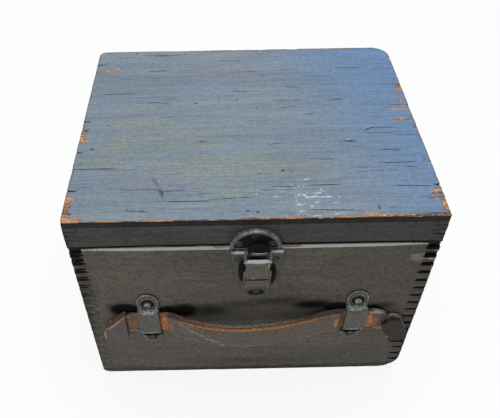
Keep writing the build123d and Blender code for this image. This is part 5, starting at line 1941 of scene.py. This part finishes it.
def lid_marks() -> list[Mark]:
    """List the marks of age on the lid, and its painted shade and highlights.

    Returns:
        The marks.
    """
    splits = [(-138.4, 3.2, 3.6), (-136.4, -8.6, 2.2), (-138.2, -37.6, 3.6), (-137.4, -82.3, 4.2),
              (139.4, -82.2, 3.6), (138.6, -11.6, 1.8), (-136.5, 92, 6)]
    marks = [top_mark(DARK, x, y, (half, 0.75), 1.1, depth=2.4, hard=4) for x, y, half in splits]
    pits = [(-104.3, 112), (-44.3, 27.2), (-118.8, -2.3), (-134.6, -106.6), (-5.6, -106.2), (1.7, -107.4),
            (23.7, -63.4), (136, 60.5), (-127.7, -33.6), (-94, -103), (-9, 31)]
    marks += [top_mark(DARK, x, y, (1, 0.8), depth=1, hard=3) for x, y in pits]
    bare = [(-128, 81.5, 13, 1.7, 20), (-139, -18.6, 2.6, 7, 0), (-136.5, -90.2, 4.5, 1.3, -28),
            (-138.6, -102, 1.6, 9, 0), (-133, -113.4, 9, 2, 0), (-138, -112, 4, 4, 0),
            (139.8, -58.1, 3, 0.8, 0), (139.6, -84.4, 3.4, 0.8, 0), (136.5, -90.2, 6.2, 1.9, 6),
            (135.5, -97.2, 6.6, 0.8, 0), (139.4, -106, 1.5, 11, 0), (134, -113.2, 8, 1.8, 0),
            (128, 12.4, 13.5, 1.3, 0), (130.5, -0.9, 10, 1.5, 2), (131, 19, 9, 1, -4),
            (-137, -98, 2.2, 7, 0), (-134, -106.5, 5, 0.8, -34), (-126, -109.5, 8, 0.8, -22),
            (136, -90, 6, 2.6, 8), (138, -104, 2.4, 6, 0), (-136.5, -10, 5, 1.2, 30),
            (-135, -24, 5, 1.4, 0), (137.6, 45, 2.6, 5, 0), (139.2, -11, 3, 0.9, 0), (139.6, 6, 1, 8, 0),
            (133.2, 37, 4, 1.2, 0), (134.6, 26, 3, 3.4, 40), (139, 94, 1.4, 4.5, 35),
            (97, 113.9, 11.5, 1.4, 0), (83, -111.6, 8, 1.3, 0), (12, -113.9, 26, 1.2, 0),
            (-104, -114.5, 16, 0.7, 0), (-68, -114.4, 18, 0.9, 0), (-30, -114.4, 10, 0.8, 0),
            (105, -113.4, 34, 1, 0), (62, -114.2, 12, 0.8, 0)]
    marks += [top_mark(WORN, x, y, (half, wide), 1.15, depth=0.35, turn=turn, hard=2.6)
              for x, y, half, wide, turn in bare]
    marks += patches(top_mark, WORN, [(100.5, -103.5, 8, 5, 0.42), (134, 31, 6, 10, 0.4),
                                      (-133, -8, 7, 9, 0.3), (-132, -103, 8, 8, 0.28),
                                      (-127.7, -33.6, 3.4, 3, 0.42)])
    # Gouges: painted shade on each dent's front wall and a painted highlight on its back wall and raised lip,
    # over the dent itself.
    gouges = [(79.3, 30.4, 7.4, 1.7, 4), (80.6, -27.9, 6.6, 1.9, 0), (99.6, -12, 7.6, 1.7, 34),
              (-38.9, -25.4, 5.6, 1.2, 4), (-75.8, -69.9, 2.4, 1.1, -30), (90, -101.5, 0.9, 6.6, 0),
              (-45.8, 26.9, 3.2, 0.8, 0)]
    marks += [top_mark(DARK, x, y - wide * 0.5, (half, wide * 0.5), 0.72, depth=0.9, turn=turn)
              for x, y, half, wide, turn in gouges]
    marks += [top_mark(PALE, x, y + wide * 0.5, (half, wide * 0.55), 0.52, depth=-0.25, turn=turn)
              for x, y, half, wide, turn in gouges]
    # Painted shade along the lid's lower edge, in the seam above the case.
    marks.append(front_mark(DARK, 0, 181, (142, 2.1), 1.6, hard=6))
    marks.append(front_mark(PALE, 0, 201.6, (120, 0.5), 0.3, hard=4))
    marks += patches(front_mark, DARK, [(136, 192, 5.5, 14, 0.4), (-138.5, 192, 4, 12, 0.45)])
    tints = [(-45, -52, 52, 26, 0.5), (20, -62, 42, 12, 0.55), (-92, -4, 26, 20, 0.5),
             (-118, -48, 16, 22, 0.5), (-104, -22, 5, 26, 0.4), (-12, -88, 30, 8, 0.5),
             (88, 42, 16, 6, 0.35), (-60, -80, 34, 12, -0.6), (-96, -66, 24, 9, -0.6),
             (-30, -40, 44, 5, -0.6), (60, -88, 30, 8, -0.5), (-10, 70, 60, 18, -0.4),
             (96, -60, 30, 10, -0.4)]
    marks += patches(top_mark, TINT, tints)
    shades = [(-88, -92, 40, 12, 0.2), (-30, -98, 44, 8, 0.2), (-62, -44, 60, 7, 0.18),
              (-60, 66, 60, 7, 0.16), (40, 50, 50, 5, 0.14), (10, -30, 60, 6, 0.15), (84, -76, 36, 5, 0.16),
              (-20, -70, 40, 5, 0.16), (100, 0, 24, 10, 0.12), (60, -106, 50, 4, 0.16)]
    marks += patches(top_mark, DARK, shades)
    draw = random.Random(31)
    for _ in range(SCRATCHES):
        x, y = draw.gauss(37, 12), draw.gauss(-96, 7)
        half = (draw.uniform(2, 6.5), draw.uniform(0.6, 0.95))
        marks.append(top_mark(PALE, x, y, half, draw.uniform(0.5, 0.9), turn=draw.choice((0, -55, 62, 10))))
    # Two deep scratches: dark in each groove and pale on a raised lip beside it, painted shade and a painted
    # highlight of their walls, as with the gouges.
    marks += [top_mark(DARK, -73.8, -74.2, (6, 1.7), 0.55, depth=0.7, turn=-62),
              top_mark(DARK, -69, -85.6, (9, 1.8), 0.6, depth=0.8, turn=-72),
              top_mark(PALE, -66.4, -84.6, (8, 1.5), 0.5, depth=-0.2, turn=-72),
              top_mark(PALE, -71.6, -73.2, (5, 1.3), 0.42, turn=-62)]
    marks.append(top_mark(PALE, -86, -52, (12, 0.7), 0.4, turn=-40))
    marks += patches(top_mark, PALE, [(-104, -22, 1.5, 24, 0.44), (-104, -100, 1.5, 9, 0.42),
                                      (84, -90, 9, 0.7, 0.45)])
    for _ in range(FLECKS):
        x, y = draw.uniform(-132, 132), draw.uniform(-112, 2)
        half = (draw.uniform(0.5, 1.3), draw.uniform(0.4, 0.7))
        marks.append(top_mark(PALE, x, y, half, draw.uniform(0.35, 0.7)))
    return marks


def case_marks() -> list[Mark]:
    """List the marks of age on the case, and its painted shade.

    Returns:
        The marks.
    """
    marks = [front_mark(PALE, -1, 178.8, (133.5, 2.5), 1.45, hard=8),
             front_mark(TINT, 126.8, 163.3, (6.3, 4.4), 3, hard=9)]
    # Dark bands at the finger joints of both front corners: dark end grain in the joints, with painted shade
    # in the open gaps, strongest at the top.
    for number in range(FINGERS):
        height = FIRST_JOINT - FINGER_PITCH * number
        gaping = number < len(OPEN_JOINTS)
        tall, depth = (OPEN_JOINTS[number], 0.6) if gaping else (0.9, 0.2)
        strength = 1.3 if number < 4 else 0.8 if number < 6 else 0.5
        marks.append(front_mark(DARK, -136, height, (6.4, tall), strength, depth, hard=6))
        tall = max(tall - 0.2, 1.3)
        marks.append(front_mark(DARK, 135.2, height + 1.3, (6.8, tall), 1.2, depth=0.4, hard=6))
        marks.append(front_mark(WORN, 136, height + 6.2, (4.6, 1), 0.46))
    marks += [front_mark(WORN, x, 179, (9, 1.6), 0.62) for x in (-25, 29)]
    # Darker patches on the front: stains and rub marks round the loops, with painted shadow of the strap and
    # loops over the band just above the strap; darker towards the bottom and along both side edges; two broad
    # darker patches higher up.
    stains_and_shade = [(-107, 102, 13, 8, 1.3), (-117, 106, 9, 8, 0.5), (-70, 97, 9, 8.5, 1.4), (-57, 99, 14, 10, 1),
              (-36, 99, 26, 12, 0.6), (-10, 106, 30, 10, 0.45), (71, 100, 12, 6.5, 1.3),
              (50, 104, 22, 8, 0.8), (20, 110, 40, 9, 0.5), (103, 97, 8, 6, 1.1), (112, 101, 12, 7, 0.5),
              (0, 1, 150, 7, 0.6), (-138, 100, 7, 80, 0.5), (138.5, 60, 3, 80, 0.5), (-110, 8, 30, 9, 0.35),
              (118, 5, 30, 6, 0.4), (0, 17, 124, 13, 0.38), (78, 152, 56, 26, 0.26),
              (-128, 130, 9, 50, 0.3)]
    marks += patches(front_mark, DARK, stains_and_shade)
    marks += [front_mark(WORN, -134.8, 1.6, (3, 1.6), 0.9), front_mark(PALE, -52, 142.3, (24, 0.4), 0.45)]
    for number in range(BARE_FINGERS):
        height = FIRST_JOINT - 1.55 - FINGER_PITCH * number
        marks.append(Mark(WORN, (139.5, FRONT, height), (9, 6, 2), 0.66 - 0.06 * number))
        marks.append(Mark(WORN, (139.5, FRONT, height + 1.6), (4, 6, 1), 0.5))
    tints = [(-95, 162, 30, 10, 0.16), (60, 155, 50, 8, 0.06), (-20, 112, 60, 6, 0.08),
             (10, 40, 80, 16, 0.05), (100, 130, 26, 10, 0.06), (104, 48, 30, 14, 0.3),
             (-100, 40, 26, 18, -0.5), (110, 40, 20, 18, -0.4), (-60, 128, 40, 5, -0.4)]
    return marks + patches(front_mark, TINT, tints)


def build_wood(yard: Yard, slate: Finish) -> None:
    """Dress the boards of the case and of the lid.

    Args:
        yard: what they are built with.
        slate: the paint of the lid's upper face.
    """
    rail = {"ground": (0.041, 0.042, 0.038), "second": (0.052, 0.052, 0.045), "third": (0.035, 0.037, 0.037),
            "right": (0.033, 0.034, 0.034), "deep": (0.007, 0.007, 0.007), "mottle": 0.2, "checks": 0.3,
            "pale": (0.2, 0.21, 0.21), "dusk": (0.025, 0.026, 0.026), "olive": (0.05, 0.047, 0.034),
            "lilac": (0.034, 0.034, 0.038), "speckle": 0.22, "mirror": 0.16}
    panel_edge = {"ground": (0.008, 0.0075, 0.007), "second": (0.016, 0.013, 0.011),
                  "third": (0.006, 0.006, 0.006), "right": (0.007, 0.0065, 0.006),
                  "deep": (0.004, 0.004, 0.004), "checks": 0.5, "dusk": (0.008, 0.008, 0.008),
                  "olive": (0.04, 0.032, 0.022), "speckle": 0.2, "mirror": 0.16}
    front = {"ground": (0.078, 0.07, 0.056), "second": (0.095, 0.086, 0.069),
             "third": (0.062, 0.052, 0.045), "right": (0.052, 0.045, 0.039), "deep": (0.007, 0.0075, 0.008),
             "mottle": 0.12, "checks": 0.22, "pale": (0.33, 0.34, 0.34), "streaks": (0.45, 0.35),
             "dusk": (0.045, 0.041, 0.037), "olive": (0.2, 0.19, 0.15), "lilac": (0.07, 0.064, 0.068),
             "speckle": 0.26, "mirror": 0.16}
    # Near-black paint on the hidden faces between boards: painted shade, so that the joints' gaps read dark.
    crevice_shade = WeatheredPaint(
        "Dark crevice", ground=(0.014, 0.012, 0.011), second=(0.02, 0.017, 0.014), third=(0.01, 0.01, 0.01),
        right=(0.012, 0.011, 0.01), deep=(0.004, 0.004, 0.004), dusk=(0.008, 0.008, 0.008), mirror=0.1)
    inside = BareTimber("Inner boards", light=(0.36, 0.24, 0.13), dark=(0.22, 0.13, 0.06))
    lid_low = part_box("lid_front_rail")[0]
    lid_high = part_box("lid_top_panel")[1]
    half_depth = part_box("lid_back_rail")[1].y
    lid = Carcass(yard, "lid", "wood_lid",
                  Block(Vector((lid_low.x, -half_depth, lid_low.z)), lid_high.copy()), inside, crevice_shade,
                  lid_marks(), Checks(70, (-138.0, -112.0, 138.0, 112.0)), worn_from=207.9 * MM)
    case_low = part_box("bottom_panel")[0]
    case_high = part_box("front_board")[1]
    case = Carcass(yard, "case", "wood_case",
                   Block(case_low.copy(), Vector((case_high.x, half_depth, case_high.z))), inside, crevice_shade,
                   case_marks(), arris_reach=1.0 * MM, arris_wear=0.2, chipping=0.45 * MM)
    joints = [SEAM - FINGER_PITCH * number + edge for number in range(1, FINGERS) for edge in JOINT_EDGES]
    for side in ("front", "back", "left", "right"):
        upright = side in ("left", "right")
        pitch = (0.0, 3.0 * MM, 1.3 * MM) if upright else (3.0 * MM, 0.0, 1.3 * MM)
        suffix = " side" if upright else ""
        case.board(f"{side}_board", [WeatheredPaint(f"Box paint{suffix}", turned=upright, **front)], pitch,
                   cuts=joints)
        lid.board(f"lid_{side}_rail", [WeatheredPaint(f"Lid rail paint{suffix}", turned=upright, **rail)],
                  pitch)
    case.board("bottom_panel", [WeatheredPaint("Bottom paint", **rail)], (4.0 * MM, 4.0 * MM, 0.0))
    lid.board("lid_top_panel", [WeatheredPaint("Panel edge paint", **panel_edge), slate],
              (1.8 * MM, 0.75 * MM, 1.2 * MM), fine=True)


# ---------------------------------------------------------------------- main


def main() -> None:
    """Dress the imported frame."""
    logging.basicConfig(level=logging.INFO, format="%(name)s %(message)s")
    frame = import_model()
    bpy.context.scene.view_settings.view_transform = "Standard"
    Studio().build()
    yard = Yard(frame)
    # The lid's upper face: slate paint, lighter and bluer than the rails partly through painted sky sheen.
    slate = WeatheredPaint("Slate lid paint")
    build_wood(yard, slate)
    StrapHandle().build(yard)
    Catch().build(yard)
    Ironwork().build(yard, slate)
    build_inside(yard)


if __name__ == "__main__":
    main()
